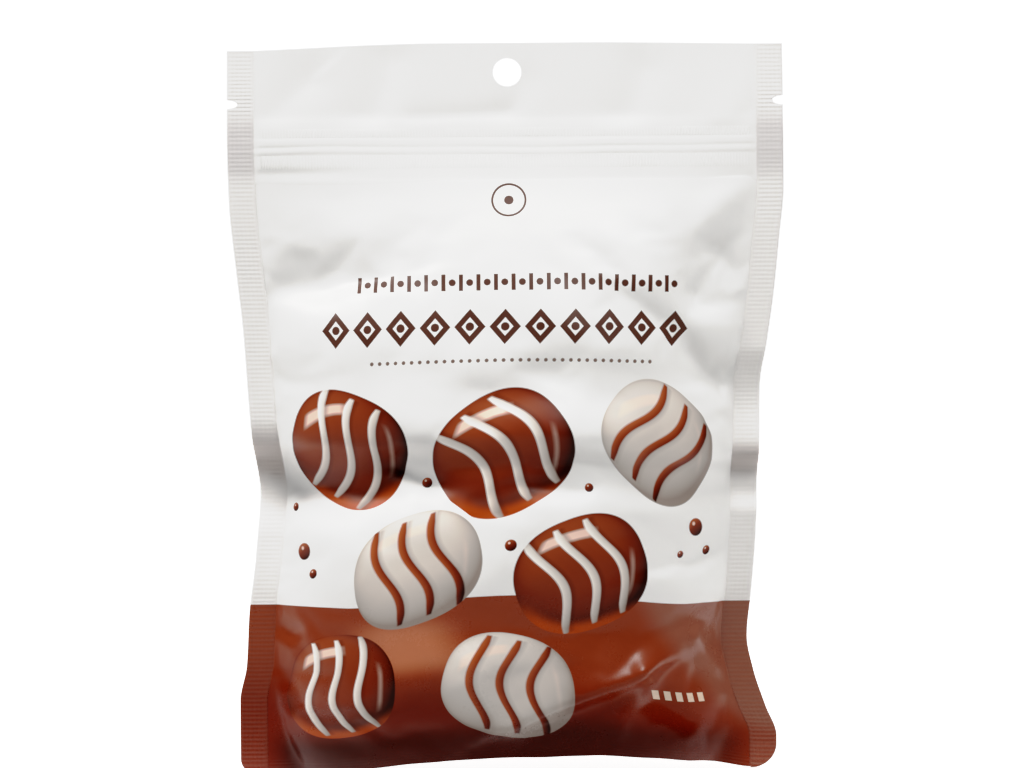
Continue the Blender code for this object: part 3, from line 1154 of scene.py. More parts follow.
class NodeBoard:
    """Node tree of one material."""

    def __init__(self, material: bpy.types.Material) -> None:
        """Start from an empty tree with an output node.

        Args:
            material: Material whose nodes these are.
        """
        material.use_nodes = True
        self.tree = material.node_tree
        self.tree.nodes.clear()
        self.output = self.tree.nodes.new("ShaderNodeOutputMaterial")

    def add(
        self,
        kind: str,
        settings: dict[str, object] | None = None,
        inputs: dict[object, object] | None = None,
    ) -> bpy.types.Node:
        """Add a node.

        Args:
            kind: The node's type.
            settings: Properties of the node, set first. A ramp's stops come as "stops".
            inputs: Values, Terms or sockets for its inputs, by name or number.

        Returns:
            The new node.
        """
        node = self.tree.nodes.new(kind)
        for name, value in (settings or {}).items():
            if name != "stops":
                setattr(node, name, value)
                continue
            elements = node.color_ramp.elements
            while len(elements) < len(value):
                elements.new(1.0)
            for element, (position, colour) in zip(elements, value):
                element.position = position
                element.color = (*colour, 1.0)
        for name, value in (inputs or {}).items():
            socket = node.inputs[name]
            if isinstance(value, Term):
                self.tree.links.new(value.socket, socket)
            elif isinstance(value, bpy.types.NodeSocket):
                self.tree.links.new(value, socket)
            else:
                socket.default_value = value
        return node

    def surface(self, inputs: dict[str, object]) -> None:
        """Finish the material with one shader, given the values and links of its sockets."""
        shader = self.add("ShaderNodeBsdfPrincipled", None, inputs)
        self.tree.links.new(shader.outputs["BSDF"], self.output.inputs["Surface"])

    def math(self, operation: str, *values: Number, clamp: bool = False) -> Term:
        """Math node of these values."""
        node = self.add(
            "ShaderNodeMath", {"operation": operation, "use_clamp": clamp}, dict(enumerate(values))
        )
        return Term(self, node.outputs[0])

    def clamp(self, value: Term) -> Term:
        """Keep a value between 0 and 1."""
        return self.math("ADD", value, 0.0, clamp=True)

    def inside(self, distance: Term, blur: float = 0.12) -> Term:
        """1 where a signed distance is below zero, 0 above, with an edge as wide as the blur."""
        return self.math("MULTIPLY_ADD", distance, -1.0 / blur, 0.5, clamp=True)

    def length(self, x: Term, z: Term) -> Term:
        """Distance from the middle of a mark."""
        return (x**2 + z**2) ** 0.5

    def box(self, x: Term, z: Term, half: tuple[float, float]) -> Term:
        """Signed distance from the edge of a box with these half sizes."""
        return self.math("MAXIMUM", abs(x) - half[0], abs(z) - half[1])

    def ramp(self, value: Term, start: float, end: float) -> Term:
        """Smooth climb between two values.

        Args:
            value: Value to look up.
            start: Where the result is 0.
            end: Where the result is 1, which may be the lower of the two.

        Returns:
            Share from 0 to 1.
        """
        low, high = (start, end) if start < end else (end, start)
        node = self.add(
            "ShaderNodeMapRange",
            {"interpolation_type": "SMOOTHSTEP"},
            {"Value": value, "From Min": low, "From Max": high},
        )
        risen = Term(self, node.outputs["Result"])
        return risen if start < end else 1.0 - risen

    def noise(self, scale: float, detail: float, **inputs: object) -> Term:
        """Cloudy noise from 0 to 1, over the mesh's own box unless a Vector is given.

        Args:
            scale: How many clouds stand in one unit.
            detail: How many finer layers it has.
            **inputs: Other inputs, by name.

        Returns:
            The noise.
        """
        node = self.add("ShaderNodeTexNoise", None, {"Scale": scale, "Detail": detail, **inputs})
        return Term(self, node.outputs["Fac"])

    def blend(self, share: Term, first: Tone, second: Tone) -> bpy.types.NodeSocket:
        """Mix two colours.

        Args:
            share: How much of the second colour shows.
            first: Colour where the share is 0.
            second: Colour where the share is 1.

        Returns:
            The mixed colour.
        """
        first = first if isinstance(first, bpy.types.NodeSocket) else (*first, 1.0)
        second = second if isinstance(second, bpy.types.NodeSocket) else (*second, 1.0)
        node = self.add(
            "ShaderNodeMix", {"data_type": "RGBA"}, {"Factor": share, 6: first, 7: second}
        )
        return node.outputs[2]

    def either(
        self, share: Term, first: bpy.types.NodeSocket | Triple, second: bpy.types.NodeSocket | Triple
    ) -> bpy.types.NodeSocket:
        """Triple of values between two triples, which may be below zero."""
        node = self.add("ShaderNodeMix", {"data_type": "VECTOR"}, {"Factor": share, 4: first, 5: second})
        return node.outputs[1]

    def tones(self, share: Term, tones: tuple[Colour, Colour, Colour]) -> bpy.types.NodeSocket:
        """Shade something from three tones.

        Args:
            share: How light it is.
            tones: Its shade, its middle tone and its light tone.

        Returns:
            The colour.
        """
        stops = list(zip((0.0, 0.5, 1.0), tones))
        node = self.add("ShaderNodeValToRGB", {"stops": stops}, {"Fac": share})
        return node.outputs["Color"]

    def tint(self, share: Term, colour: bpy.types.NodeSocket, tone: Colour) -> bpy.types.NodeSocket:
        """Multiply a colour by a tone where the share is 1."""
        node = self.add(
            "ShaderNodeMix",
            {"data_type": "RGBA", "blend_type": "MULTIPLY"},
            {"Factor": share, 6: colour, 7: (*tone, 1.0)},
        )
        return node.outputs[2]


def linear(red: int, green: int, blue: int) -> Colour:
    """Turn an sRGB colour into a linear one.

    Args:
        red: Red from 0 to 255.
        green: Green from 0 to 255.
        blue: Blue from 0 to 255.

    Returns:
        The linear colour, from 0 to 1.
    """
    share = np.array([red, green, blue]) / 255
    dark, light = share / 12.92, ((share + 0.055) / 1.055) ** 2.4
    return tuple(np.where(share <= 0.04045, dark, light).tolist())


@dataclass(frozen=True)
class FilmPlace:
    """Where a shaded point lies on the flat film, in one material's nodes.

    Front is 1 on the front panel and 0 elsewhere, and back the other way round.
    """

    board: NodeBoard
    vector: bpy.types.NodeSocket
    across: Term
    up: Term
    front: Term
    back: Term

    @classmethod
    def on(cls, board: NodeBoard) -> "FilmPlace":
        """Read the film's own map.

        Args:
            board: The material's nodes.

        Returns:
            The place that the map gives.
        """
        vector = board.add("ShaderNodeUVMap", {"uv_map": FILM_MAP}).outputs["UV"]
        split = board.add("ShaderNodeSeparateXYZ", None, {0: vector})
        raw = Term(board, split.outputs["X"])
        back = board.math("GREATER_THAN", raw, BACK_MAP_SHIFT / 2)
        across = raw - back * BACK_MAP_SHIFT
        return cls(board, vector, across, Term(board, split.outputs["Y"]), 1.0 - back, back)

    def half(self, side: Side) -> Term:
        """1 on one side of the film's middle, 0 on the other."""
        return self.board.ramp(self.across, 0.0, side.value)

    def nearest(self, shapes: list[list[Triple]]) -> list[Term]:
        """Read the values of the shape whose middle is the nearest.

        Args:
            shapes: Triples of values for each shape, the first of which starts with its middle.

        Returns:
            The nearest shape's values, one after another.
        """
        board = self.board
        place = board.add("ShaderNodeCombineXYZ", None, {0: self.across, 1: self.up}).outputs[0]
        values, best = shapes[0], None
        for shape in shapes:
            middle = (shape[0][0], shape[0][1], 0.0)
            measured = board.add("ShaderNodeVectorMath", {"operation": "DISTANCE"}, {0: place, 1: middle})
            distance = Term(board, measured.outputs["Value"])
            if best is None:
                best = distance
                continue
            closer = board.math("LESS_THAN", distance, best)
            best = board.math("MINIMUM", distance, best)
            values = [board.either(closer, old, new) for old, new in zip(values, shape)]
        parts = [board.add("ShaderNodeSeparateXYZ", None, {0: value}) for value in values]
        return [Term(board, part.outputs[axis]) for part in parts for axis in range(3)]


@dataclass(frozen=True)
class Sweet:
    """One printed sweet: its middle on the flat film, its lean in degrees, its size and its coating."""

    x: float
    z: float
    lean: float
    size: float
    dark: bool

    def values(self) -> list[Triple]:
        """Middle and coating, then direction and scale, as the shader mixes them."""
        lean = math.radians(self.lean)
        return [(self.x, self.z, float(self.dark)), (math.cos(lean), math.sin(lean), 1 / self.size)]


@dataclass(frozen=True)
class SweetLight:
    """Light on a printed sweet: how much its tilt counts, its two windows of gloss and a low glow.

    A window has its middle and half its size, in shares of the sweet's slope, and how much of it shows
    on a pale coating and how much more on a dark one.
    """

    least: float = 0.10
    facing: float = 0.48
    above: float = 0.42
    right: float = -0.24
    window_middle: tuple[float, float] = (-0.26, 0.50)
    window_half: tuple[float, float] = (0.30, 0.11)
    window_slant: float = 0.22
    side_middle: tuple[float, float] = (0.58, 0.0)
    side_half: tuple[float, float] = (0.04, 0.30)
    window_share: tuple[float, float] = (0.5, 0.35)
    side_share: tuple[float, float] = (0.2, 0.1)
    glow_height: tuple[float, float] = (-0.35, -0.85)
    glow_radius: tuple[float, float] = (0.72, 0.93)
    glow_share: float = 0.75

    def shade(self, board: NodeBoard, slope_x: Term, slope_z: Term) -> Term:
        """Lightness of the sweet's surface.

        Args:
            board: The material's nodes.
            slope_x: How far the surface leans to the right.
            slope_z: How far it leans upwards.

        Returns:
            Share from 0, dark, to 1, light.
        """
        facing = (1.0 - board.clamp(slope_x**2 + slope_z**2)) ** 0.5
        return board.clamp(
            self.least + self.facing * facing + self.above * slope_z + self.right * slope_x
        )

    def windows(self, board: NodeBoard, slope_x: Term, slope_z: Term) -> tuple[Term, Term]:
        """Gloss of the lamps on the sweet.

        Args:
            board: The material's nodes.
            slope_x: How far the surface leans to the right.
            slope_z: How far it leans upwards.

        Returns:
            The large window at the upper left, and the narrow one on the right.
        """
        middle_x, middle_z = self.window_middle
        half_x, half_z = self.window_half
        large = board.inside(abs(slope_x - middle_x) - half_x, 0.12)
        large = large * board.inside(abs(slope_z - middle_z - self.window_slant * slope_x) - half_z, 0.08)
        middle_x, middle_z = self.side_middle
        half_x, half_z = self.side_half
        narrow = board.inside(abs(slope_x - middle_x) - half_x, 0.10)
        narrow = narrow * board.inside(abs(slope_z - middle_z) - half_z, 0.20)
        return large, narrow


@dataclass(frozen=True)
class Drizzle:
    """Stripes drizzled over a printed sweet, wavy and tapered, in shares of its size."""

    pitch: float = 0.46
    half: float = 0.065
    count: float = 1.5
    reach: float = 0.90
    wave: float = 0.13
    wave_turns: float = 3.2
    phase_across: float = 0.11
    phase_up: float = 0.05
    slant: float = 0.05
    shadow_offset: float = 0.085
    shadow_half: float = 0.02
    shadow_share: float = 0.5
    roundness: float = 4.0
    lightness: float = 0.12
    taper: tuple[float, float] = (0.95, 0.70)
    thinnest: float = 0.55

    def lay(self, board: NodeBoard, along: Term, beside: Term, phase: Term) -> tuple[Term, Term, Term]:
        """Lay the stripes.

        Args:
            board: The material's nodes.
            along: Place along the sweet, from -1 to 1.
            beside: Place across it, from -1 to 1.
            phase: Where the waves start.

        Returns:
            The stripes, their shadows, and the distance from the middle of the nearest stripe.
        """
        wave = board.math("SINE", beside * self.wave_turns + phase)
        wavy = along + self.wave * wave + self.slant * beside
        line = board.math("ROUND", wavy / self.pitch)
        off = wavy - line * self.pitch
        striped = board.inside(abs(line) - self.count, 0.01) * board.inside(abs(beside) - self.reach, 0.03)
        shadow = board.inside(abs(off - self.shadow_offset) - self.shadow_half, 0.10) * striped
        tapered = self.thinnest + (1 - self.thinnest) * board.ramp(abs(beside), *self.taper)
        stripe = board.inside(abs(off) - self.half * tapered, 0.03) * striped
        return stripe, shadow * self.shadow_share, off


@dataclass(frozen=True)
class SweetPrint:
    """Printed picture of glossy pebble-shaped sweets with drizzled stripes, and small drops.

    Each drop is its middle on the flat film and its radius.
    """

    half_length: float = 18.5
    half_breadth: float = 15.5
    squareness: float = 2.4
    drop_light: float = 0.45
    drop_tilt: float = 0.6
    spot_middle: tuple[float, float] = (-0.3, 0.4)
    spot_radius: float = 0.2
    spot_share: float = 0.8
    light: SweetLight = SweetLight()
    drizzle: Drizzle = Drizzle()
    chocolate: tuple[Colour, Colour, Colour] = (
        linear(52, 20, 12), linear(120, 52, 32), linear(178, 96, 62),
    )
    cream: tuple[Colour, Colour, Colour] = (
        linear(150, 138, 130), linear(206, 198, 190), linear(244, 240, 235),
    )
    warm: Colour = linear(190, 84, 30)
    gloss: Colour = linear(250, 228, 214)
    sweets: tuple[Sweet, ...] = (
        Sweet(-46.0, 90.0, -22.0, 1.00, True),
        Sweet(-1.0, 87.0, 34.0, 1.06, True),
        Sweet(44.0, 91.0, -40.0, 0.98, False),
        Sweet(-24.0, 56.0, 14.0, 0.98, False),
        Sweet(22.0, 53.5, 24.0, 1.02, True),
        Sweet(-46.0, 25.0, 8.0, 0.94, True),
        Sweet(2.0, 21.5, -12.0, 0.96, False),
    )
    drops: tuple[Triple, ...] = (
        (-61.0, 62.0, 2.3), (-56.5, 56.0, 1.3), (1.5, 61.0, 1.6), (56.0, 68.0, 2.4), (60.5, 61.5, 1.3),
        (51.0, 60.5, 1.0), (-22.5, 79.5, 1.5), (-66.0, 74.0, 1.1), (22.0, 77.5, 1.2),
    )

    def over(self, film: FilmPlace, colour: bpy.types.NodeSocket) -> bpy.types.NodeSocket:
        """Print all sweets and drops over what is printed so far."""
        return self.sweet_layer(film, self.drop_layer(film, colour))

    def drop_layer(self, film: FilmPlace, colour: bpy.types.NodeSocket) -> bpy.types.NodeSocket:
        """Print the small round drops, each with a light spot.

        Args:
            film: Place on the flat film.
            colour: What is printed so far.

        Returns:
            The colour with the drops over it.
        """
        board = film.board
        middle_x, middle_z, radius = film.nearest([[drop] for drop in self.drops])
        x, z = (film.across - middle_x) / radius, (film.up - middle_z) / radius
        lit = board.clamp(self.drop_light + (z - self.drop_tilt * x) * self.drop_light)
        spot = board.length(x - self.spot_middle[0], z - self.spot_middle[1])
        shining = board.inside(spot - self.spot_radius, 0.15) * self.spot_share
        tone = board.blend(shining, board.tones(lit, self.chocolate), self.gloss)
        return board.blend(board.inside(board.length(x, z) - 1.0, 0.08) * film.front, colour, tone)

    def sweet_layer(self, film: FilmPlace, colour: bpy.types.NodeSocket) -> bpy.types.NodeSocket:
        """Print the domed sweets, lit from the upper left.

        Args:
            film: Place on the flat film.
            colour: What is printed so far.

        Returns:
            The colour with the sweets over it.
        """
        board = film.board
        shapes = [sweet.values() for sweet in self.sweets]
        middle_x, middle_z, dark, cosine, sine, scale = film.nearest(shapes)
        x, z = (film.across - middle_x) * scale, (film.up - middle_z) * scale
        along = (x * cosine + z * sine) / self.half_length
        beside = (z * cosine - x * sine) / self.half_breadth
        radius = (abs(along) ** self.squareness + abs(beside) ** self.squareness) ** (1 / self.squareness)
        body = board.inside(radius - 1.0, 0.016) * film.front
        slope_x = (along * cosine - beside * sine) * radius
        slope_z = (along * sine + beside * cosine) * radius
        lit = self.light.shade(board, slope_x, slope_z)

        tone = board.blend(dark, board.tones(lit, self.cream), board.tones(lit, self.chocolate))
        glow = board.ramp(slope_z, *self.light.glow_height) * board.ramp(radius, *self.light.glow_radius)
        tone = board.blend(glow * dark * self.light.glow_share, tone, self.warm)
        large, narrow = self.light.windows(board, slope_x, slope_z)
        for window, (pale, more) in ((large, self.light.window_share), (narrow, self.light.side_share)):
            tone = board.blend(window * (pale + more * dark), tone, self.gloss)

        phase = middle_x * self.drizzle.phase_across + middle_z * self.drizzle.phase_up
        stripe, shadow, off = self.drizzle.lay(board, along, beside, phase)
        tone = board.blend(shadow, tone, board.blend(dark, self.cream[0], self.chocolate[0]))
        rounded = board.clamp(lit + self.drizzle.lightness - self.drizzle.roundness * off)
        drizzle = board.blend(dark, board.tones(rounded, self.chocolate), board.tones(rounded, self.cream))
        return board.blend(body, colour, board.blend(stripe, tone, drizzle))


@dataclass(frozen=True)
class PrintRow:
    """Row of equal marks on the front panel, with how many stand on each side of its middle."""

    pitch: float
    middle: float
    count: float
    height: float

    def lay(self, film: FilmPlace) -> tuple[Term, Term, Term]:
        """Lay the row.

        Args:
            film: Place on the flat film.

        Returns:
            Place across and up from the nearest mark's middle, and 1 where the row has marks.
        """
        shifted = (film.across - self.middle) / self.pitch
        cell = film.board.math("ROUND", shifted)
        shown = film.board.inside(abs(cell) - self.count, 0.01) * film.front
        return (shifted - cell) * self.pitch, film.up - self.height, shown


@dataclass(frozen=True)
class Ornament:
    """Plain ornament: rows of marks and a ring in front, pale dashes at the foot, a framed panel behind.

    A half is half the width and half the height of a mark.
    """

    ink: Colour = linear(92, 62, 52)
    thin_ink: Colour = linear(128, 108, 98)
    pale_print: Colour = linear(226, 208, 186)
    diamonds: PrintRow = PrintRow(9.6, -0.2, 5.5, 122.6)
    diamond_slope: float = 1.15
    diamond_reach: tuple[float, float] = (2.6, 4.9)
    diamond_dot: float = 1.15
    bars: PrintRow = PrintRow(4.8, 2.0, 9.5, 135.0)
    bar_half: tuple[float, float] = (0.55, 2.3)
    beads: PrintRow = PrintRow(4.8, 4.4, 9.5, 135.0)
    bead_radius: float = 0.95
    dots: PrintRow = PrintRow(2.3, 2.0, 17.5, 113.2)
    dot_radius: float = 0.5
    dashes: PrintRow = PrintRow(3.6, 50.5, 2.5, 21.0)
    dash_half: tuple[float, float] = (1.0, 1.3)
    ring_middle: tuple[float, float] = (0.8, 158.6)
    ring_radius: float = 4.6
    ring_line: float = 0.28
    ring_dot: float = 1.3
    panel: Colour = linear(240, 234, 226)
    panel_share: float = 0.55
    panel_height: float = 101.0
    panel_half: tuple[float, float] = (48.0, 36.0)
    panel_line: float = 0.35

    def over(self, film: FilmPlace, colour: bpy.types.NodeSocket) -> bpy.types.NodeSocket:
        """Print the ornament of both panels over what is printed so far."""
        return self.print_back(film, self.print_foot(film, self.print_front(film, colour)))

    def print_front(self, film: FilmPlace, colour: bpy.types.NodeSocket) -> bpy.types.NodeSocket:
        """Print the rows above the sweets and the ring over them.

        Args:
            film: Place on the flat film.
            colour: What is printed so far.

        Returns:
            The colour with the rows and the ring over it.
        """
        board = film.board
        x, z, shown = self.diamonds.lay(film)
        slanted = abs(x) * self.diamond_slope + abs(z)
        inner, outer = self.diamond_reach
        diamond = board.clamp(board.inside(slanted - outer) - board.inside(slanted - inner))
        colour = board.blend(diamond * shown, colour, self.ink)
        dot = board.inside(board.length(x, z) - self.diamond_dot)
        colour = board.blend(dot * shown, colour, self.ink)
        x, z, shown = self.bars.lay(film)
        colour = board.blend(board.inside(board.box(x, z, self.bar_half)) * shown, colour, self.ink)
        for row, radius, ink in (
            (self.beads, self.bead_radius, self.ink),
            (self.dots, self.dot_radius, self.thin_ink),
        ):
            x, z, shown = row.lay(film)
            colour = board.blend(board.inside(board.length(x, z) - radius) * shown, colour, ink)

        ring = board.length(film.across - self.ring_middle[0], film.up - self.ring_middle[1])
        mark = board.inside(abs(ring - self.ring_radius) - self.ring_line)
        mark = mark + board.inside(ring - self.ring_dot)
        return board.blend(board.clamp(mark) * film.front, colour, self.ink)

    def print_foot(self, film: FilmPlace, colour: bpy.types.NodeSocket) -> bpy.types.NodeSocket:
        """Print the pale dashes on the brown foot.

        Args:
            film: Place on the flat film.
            colour: What is printed so far.

        Returns:
            The colour with the dashes over it.
        """
        x, z, shown = self.dashes.lay(film)
        dash = film.board.inside(film.board.box(x, z, self.dash_half))
        return film.board.blend(dash * shown, colour, self.pale_print)

    def print_back(self, film: FilmPlace, colour: bpy.types.NodeSocket) -> bpy.types.NodeSocket:
        """Print a plain framed panel on the back.

        Args:
            film: Place on the flat film.
            colour: What is printed so far.

        Returns:
            The colour with the panel over it.
        """
        board = film.board
        edge = board.box(film.across, film.up - self.panel_height, self.panel_half)
        colour = board.blend(board.inside(edge) * film.back * self.panel_share, colour, self.panel)
        return board.blend(board.inside(abs(edge) - self.panel_line) * film.back, colour, self.ink)


@dataclass(frozen=True)
class FootBrown:
    """Brown of the foot: deep at the very foot, with a painted sheen, painted shade low down, and pale
    painted reflections at the right of the front and on the seal ribs.

    A zone is where a change starts and where it is full, on the flat film. A lean tilts its edge, and a
    share says how much of the change shows.
    """

    plain: Colour = linear(140, 69, 45)
    deep: Colour = linear(108, 32, 10)
    warm: Colour = linear(152, 74, 44)
    sheen: Colour = linear(196, 124, 96)
    shade: Colour = linear(44, 11, 3)
    # Pale brown of the painted reflections, on the front and on the seal ribs.
    worn_and_sheen: Colour = linear(146, 110, 98)
    top: float = 47.0
    deep_zone: tuple[float, float] = (34.0, 12.0)
    deep_lean: float = 0.08
    deep_share: float = 0.9
    warm_zone: tuple[float, float] = (34.0, 66.0)
    warm_lean: float = 0.8
    warm_share: float = 0.3
    sheen_middle: tuple[float, float] = (-24.0, 34.0)
    sheen_lean: float = 0.5
    sheen_across: tuple[float, float] = (20.0, 4.0)
    sheen_height: float = 35.0
    sheen_up: tuple[float, float] = (10.0, 3.0)
    sheen_share: float = 0.8
    shade_up: tuple[float, float] = (15.0, 6.0)
    shade_across: tuple[float, float] = (74.0, 62.0)
    shade_share: float = 0.6
    left_shade: tuple[float, float] = (-30.0, -50.0)
    left_shade_share: float = 0.2
    # Band of painted reflection at the right of the front.
    right_sheen_middle: tuple[float, float] = (50.5, 38.9)
    right_sheen_slope: tuple[float, float] = (0.75, 0.66)
    right_sheen_zone: tuple[float, float] = (-7.0, 2.0)
    right_sheen_up: tuple[float, float] = (8.0, 14.0)
    right_sheen_share: float = 0.5
    # Painted reflection on the side seals' ribs, brightest on their crests and weaker on the left seal.
    rib_pitch: float = 1.2
    rib_sheen_share: float = 0.22
    crest_sheen_share: float = 0.26
    left_rib_sheen_share: float = 0.5

    def tone(self, film: FilmPlace, sealed: Term) -> bpy.types.NodeSocket:
        """Shade the brown.

        Args:
            film: Place on the flat film.
            sealed: 1 on the side seals.

        Returns:
            The brown, with its painted sheen, its painted shade and its painted reflections.
        """
        board, across, up = film.board, film.across, film.up
        deep = board.ramp(up + self.deep_lean * across, *self.deep_zone)
        brown = board.blend(deep * self.deep_share, self.plain, self.deep)
        warm = board.ramp(across - self.warm_lean * up, *self.warm_zone)
        brown = board.blend(warm * self.warm_share, brown, self.warm)
        from_x, from_z = across - self.sheen_middle[0], up - self.sheen_middle[1]
        sheen = board.ramp(abs(from_x + self.sheen_lean * from_z), *self.sheen_across)
        sheen = sheen * board.ramp(abs(up - self.sheen_height), *self.sheen_up)
        brown = board.blend(sheen * self.sheen_share, brown, self.sheen)
        shade = board.ramp(up, *self.shade_up) * board.ramp(abs(across), *self.shade_across)
        left = self.left_shade_share * board.ramp(across, *self.left_shade)
        brown = board.blend(shade * (self.shade_share + left), brown, self.shade)
        return self.wear_and_sheen(film, brown, sealed)

    def wear_and_sheen(self, film: FilmPlace, brown: bpy.types.NodeSocket, sealed: Term) -> bpy.types.NodeSocket:
        """Paint pale reflections on the brown at the right of the front, and on the side seals, most on
        their rib crests.

        Args:
            film: Place on the flat film.
            brown: The brown so far.
            sealed: 1 on the side seals.

        Returns:
            The brown with its wear.
        """
        board = film.board
        # Painted reflection: a pale band at the right of the front.
        from_x, from_z = film.across - self.right_sheen_middle[0], film.up - self.right_sheen_middle[1]
        beyond = self.right_sheen_slope[0] * from_x + self.right_sheen_slope[1] * from_z
        right_sheen = board.ramp(beyond, *self.right_sheen_zone) * board.ramp(film.up, *self.right_sheen_up)
        brown = board.blend(right_sheen * film.front * self.right_sheen_share, brown, self.worn_and_sheen)
        # Painted reflection on the side seals, brightest on the rib crests.
        crest = 0.5 + 0.5 * board.math("COSINE", film.up * (2 * math.pi / self.rib_pitch))
        side = self.left_rib_sheen_share + (1 - self.left_rib_sheen_share) * film.half(Side.RIGHT)
        worn_and_sheen = sealed * (self.rib_sheen_share + self.crest_sheen_share * crest) * side
        return board.blend(worn_and_sheen, brown, self.worn_and_sheen)


@dataclass(frozen=True)
class SealShade:
    """Painted shade on the sealed film: a little darker all over, darker where the strip is crushed into
    it, and darkest at its two kinks, where the seals turn away from the light.

    A kink has its side, its height and the zone in which it fades in.
    """

    edge: tuple[float, float] = (69.7, 70.3)
    # Painted shade: each seal a little darker all over.
    seal_shade_tone: Colour = (0.97, 0.96, 0.955)
    # Painted shade beside the ends of the strip.
    crushed_shade_tone: Colour = (0.86, 0.85, 0.86)
    crushed_height: float = 174.0
    crushed_zone: tuple[float, float] = (12.0, 4.0)
    # Painted shade at the kinks of the seals.
    kink_shade_tone: Colour = (0.62, 0.57, 0.55)
    kinks: tuple[tuple[Side, float, tuple[float, float]], ...] = (
        (Side.LEFT, 88.0, (10.0, 2.0)),
        (Side.RIGHT, 86.0, (6.5, 1.0)),
    )

    def sealed(self, film: FilmPlace) -> Term:
        """1 on the side seals, 0 between them."""
        return film.board.ramp(abs(film.across), *self.edge)

    def over(
        self, film: FilmPlace, colour: bpy.types.NodeSocket, sealed: Term
    ) -> bpy.types.NodeSocket:
        """Paint shade on the sealed film, deeper where the strip is crushed into it and at the kinks.

        Args:
            film: Place on the flat film.
            colour: What is printed so far.
            sealed: 1 on the side seals.

        Returns:
            The colour with its painted shade.
        """
        board = film.board
        # Painted shade on the seals, deeper beside the strip's ends and at the kinks.
        colour = board.tint(sealed, colour, self.seal_shade_tone)
        crushed_shade = sealed * board.ramp(abs(film.up - self.crushed_height), *self.crushed_zone)
        colour = board.tint(crushed_shade, colour, self.crushed_shade_tone)
        kink_shade = sum(
            board.ramp(abs(film.up - height), *zone) * film.half(side)
            for side, height, zone in self.kinks
        )
        return board.tint(sealed * film.front * kink_shade, colour, self.kink_shade_tone)


@dataclass(frozen=True)
class FilmFinish:
    """Satin printed film of the pouch: white above, a brown foot, its print, and painted sheen, shade and
    reflections.

    The brown ink is glossier and smoother than the white. Cloud and grain are how much each noise
    changes the roughness, or lifts the film in the bump, in millimetres there.
    """

    white: Colour = linear(236, 235, 233)
    foot: FootBrown = FootBrown()
    sweets: SweetPrint = SweetPrint()
    ornament: Ornament = Ornament()
    seals: SealShade = SealShade()
    cloud_scale: float = 0.045
    grain_scale: float = 0.9
    satin: float = 0.40
    satin_cloud: float = 0.12
    satin_grain: float = 0.06
    glossy: float = 0.28
    glossy_cloud: float = 0.10
    glossy_grain: float = 0.02
    specular: float = 0.35
    bump_strength: float = 0.6
    bump_cloud: float = 0.04
    bump_grain: float = 0.008
    brown_grain: float = 0.0015
    foot_ripple: float = 0.012
    foot_ripple_pitch: float = 0.9
    foot_ripple_zone: tuple[float, float] = (4.5, 3.0)

    def dress(self) -> bpy.types.Material:
        """Make the material.

        Returns:
            The printed film.
        """
        material = bpy.data.materials.new("printed_film")
        board = NodeBoard(material)
        film = FilmPlace.on(board)
        on_brown = board.inside(film.up - self.foot.top)
        sealed = self.seals.sealed(film)
        # The foot's brown carries painted sheen, painted shade and painted reflections.
        colour = board.blend(on_brown, self.white, self.foot.tone(film, sealed))
        colour = self.sweets.over(film, colour)
        colour = self.ornament.over(film, colour)
        # Painted shade on the side seals.
        colour = self.seals.over(film, colour, sealed)
        cloud = board.noise(self.cloud_scale, detail=3.0, Roughness=0.55, Vector=film.vector)
        grain = board.noise(self.grain_scale, detail=2.0, Roughness=0.6, Vector=film.vector)
        satin = self.satin + self.satin_cloud * (cloud - 0.5) + self.satin_grain * (grain - 0.5)
        glossy = self.glossy + self.glossy_cloud * (cloud - 0.5) + self.glossy_grain * (grain - 0.5)
        board.surface({
            "Base Color": colour,
            "Roughness": satin + (glossy - satin) * on_brown,
            "Normal": self.bump(film, on_brown, cloud, grain),
            "Specular IOR Level": self.specular,
        })
        return material

    def bump(self, film: FilmPlace, on_brown: Term, cloud: Term, grain: Term) -> bpy.types.NodeSocket:
        """Lift the film a little: clouds and grain all over, and fine ripples at the foot.

        Args:
            film: Place on the flat film.
            on_brown: 1 on the brown foot.
            cloud: Large noise.
            grain: Fine noise.

        Returns:
            The bumped normal.
        """
        board = film.board
        ripple = board.math("SINE", film.up * (2 * math.pi / self.foot_ripple_pitch))
        ripple = ripple * board.ramp(film.up, *self.foot_ripple_zone)
        fine = self.bump_grain - (self.bump_grain - self.brown_grain) * on_brown
        height = fine * grain + self.bump_cloud * cloud + self.foot_ripple * ripple
        node = board.add(
            "ShaderNodeBump", None, {"Strength": self.bump_strength, "Distance": MM, "Height": height}
        )
        return node.outputs["Normal"]


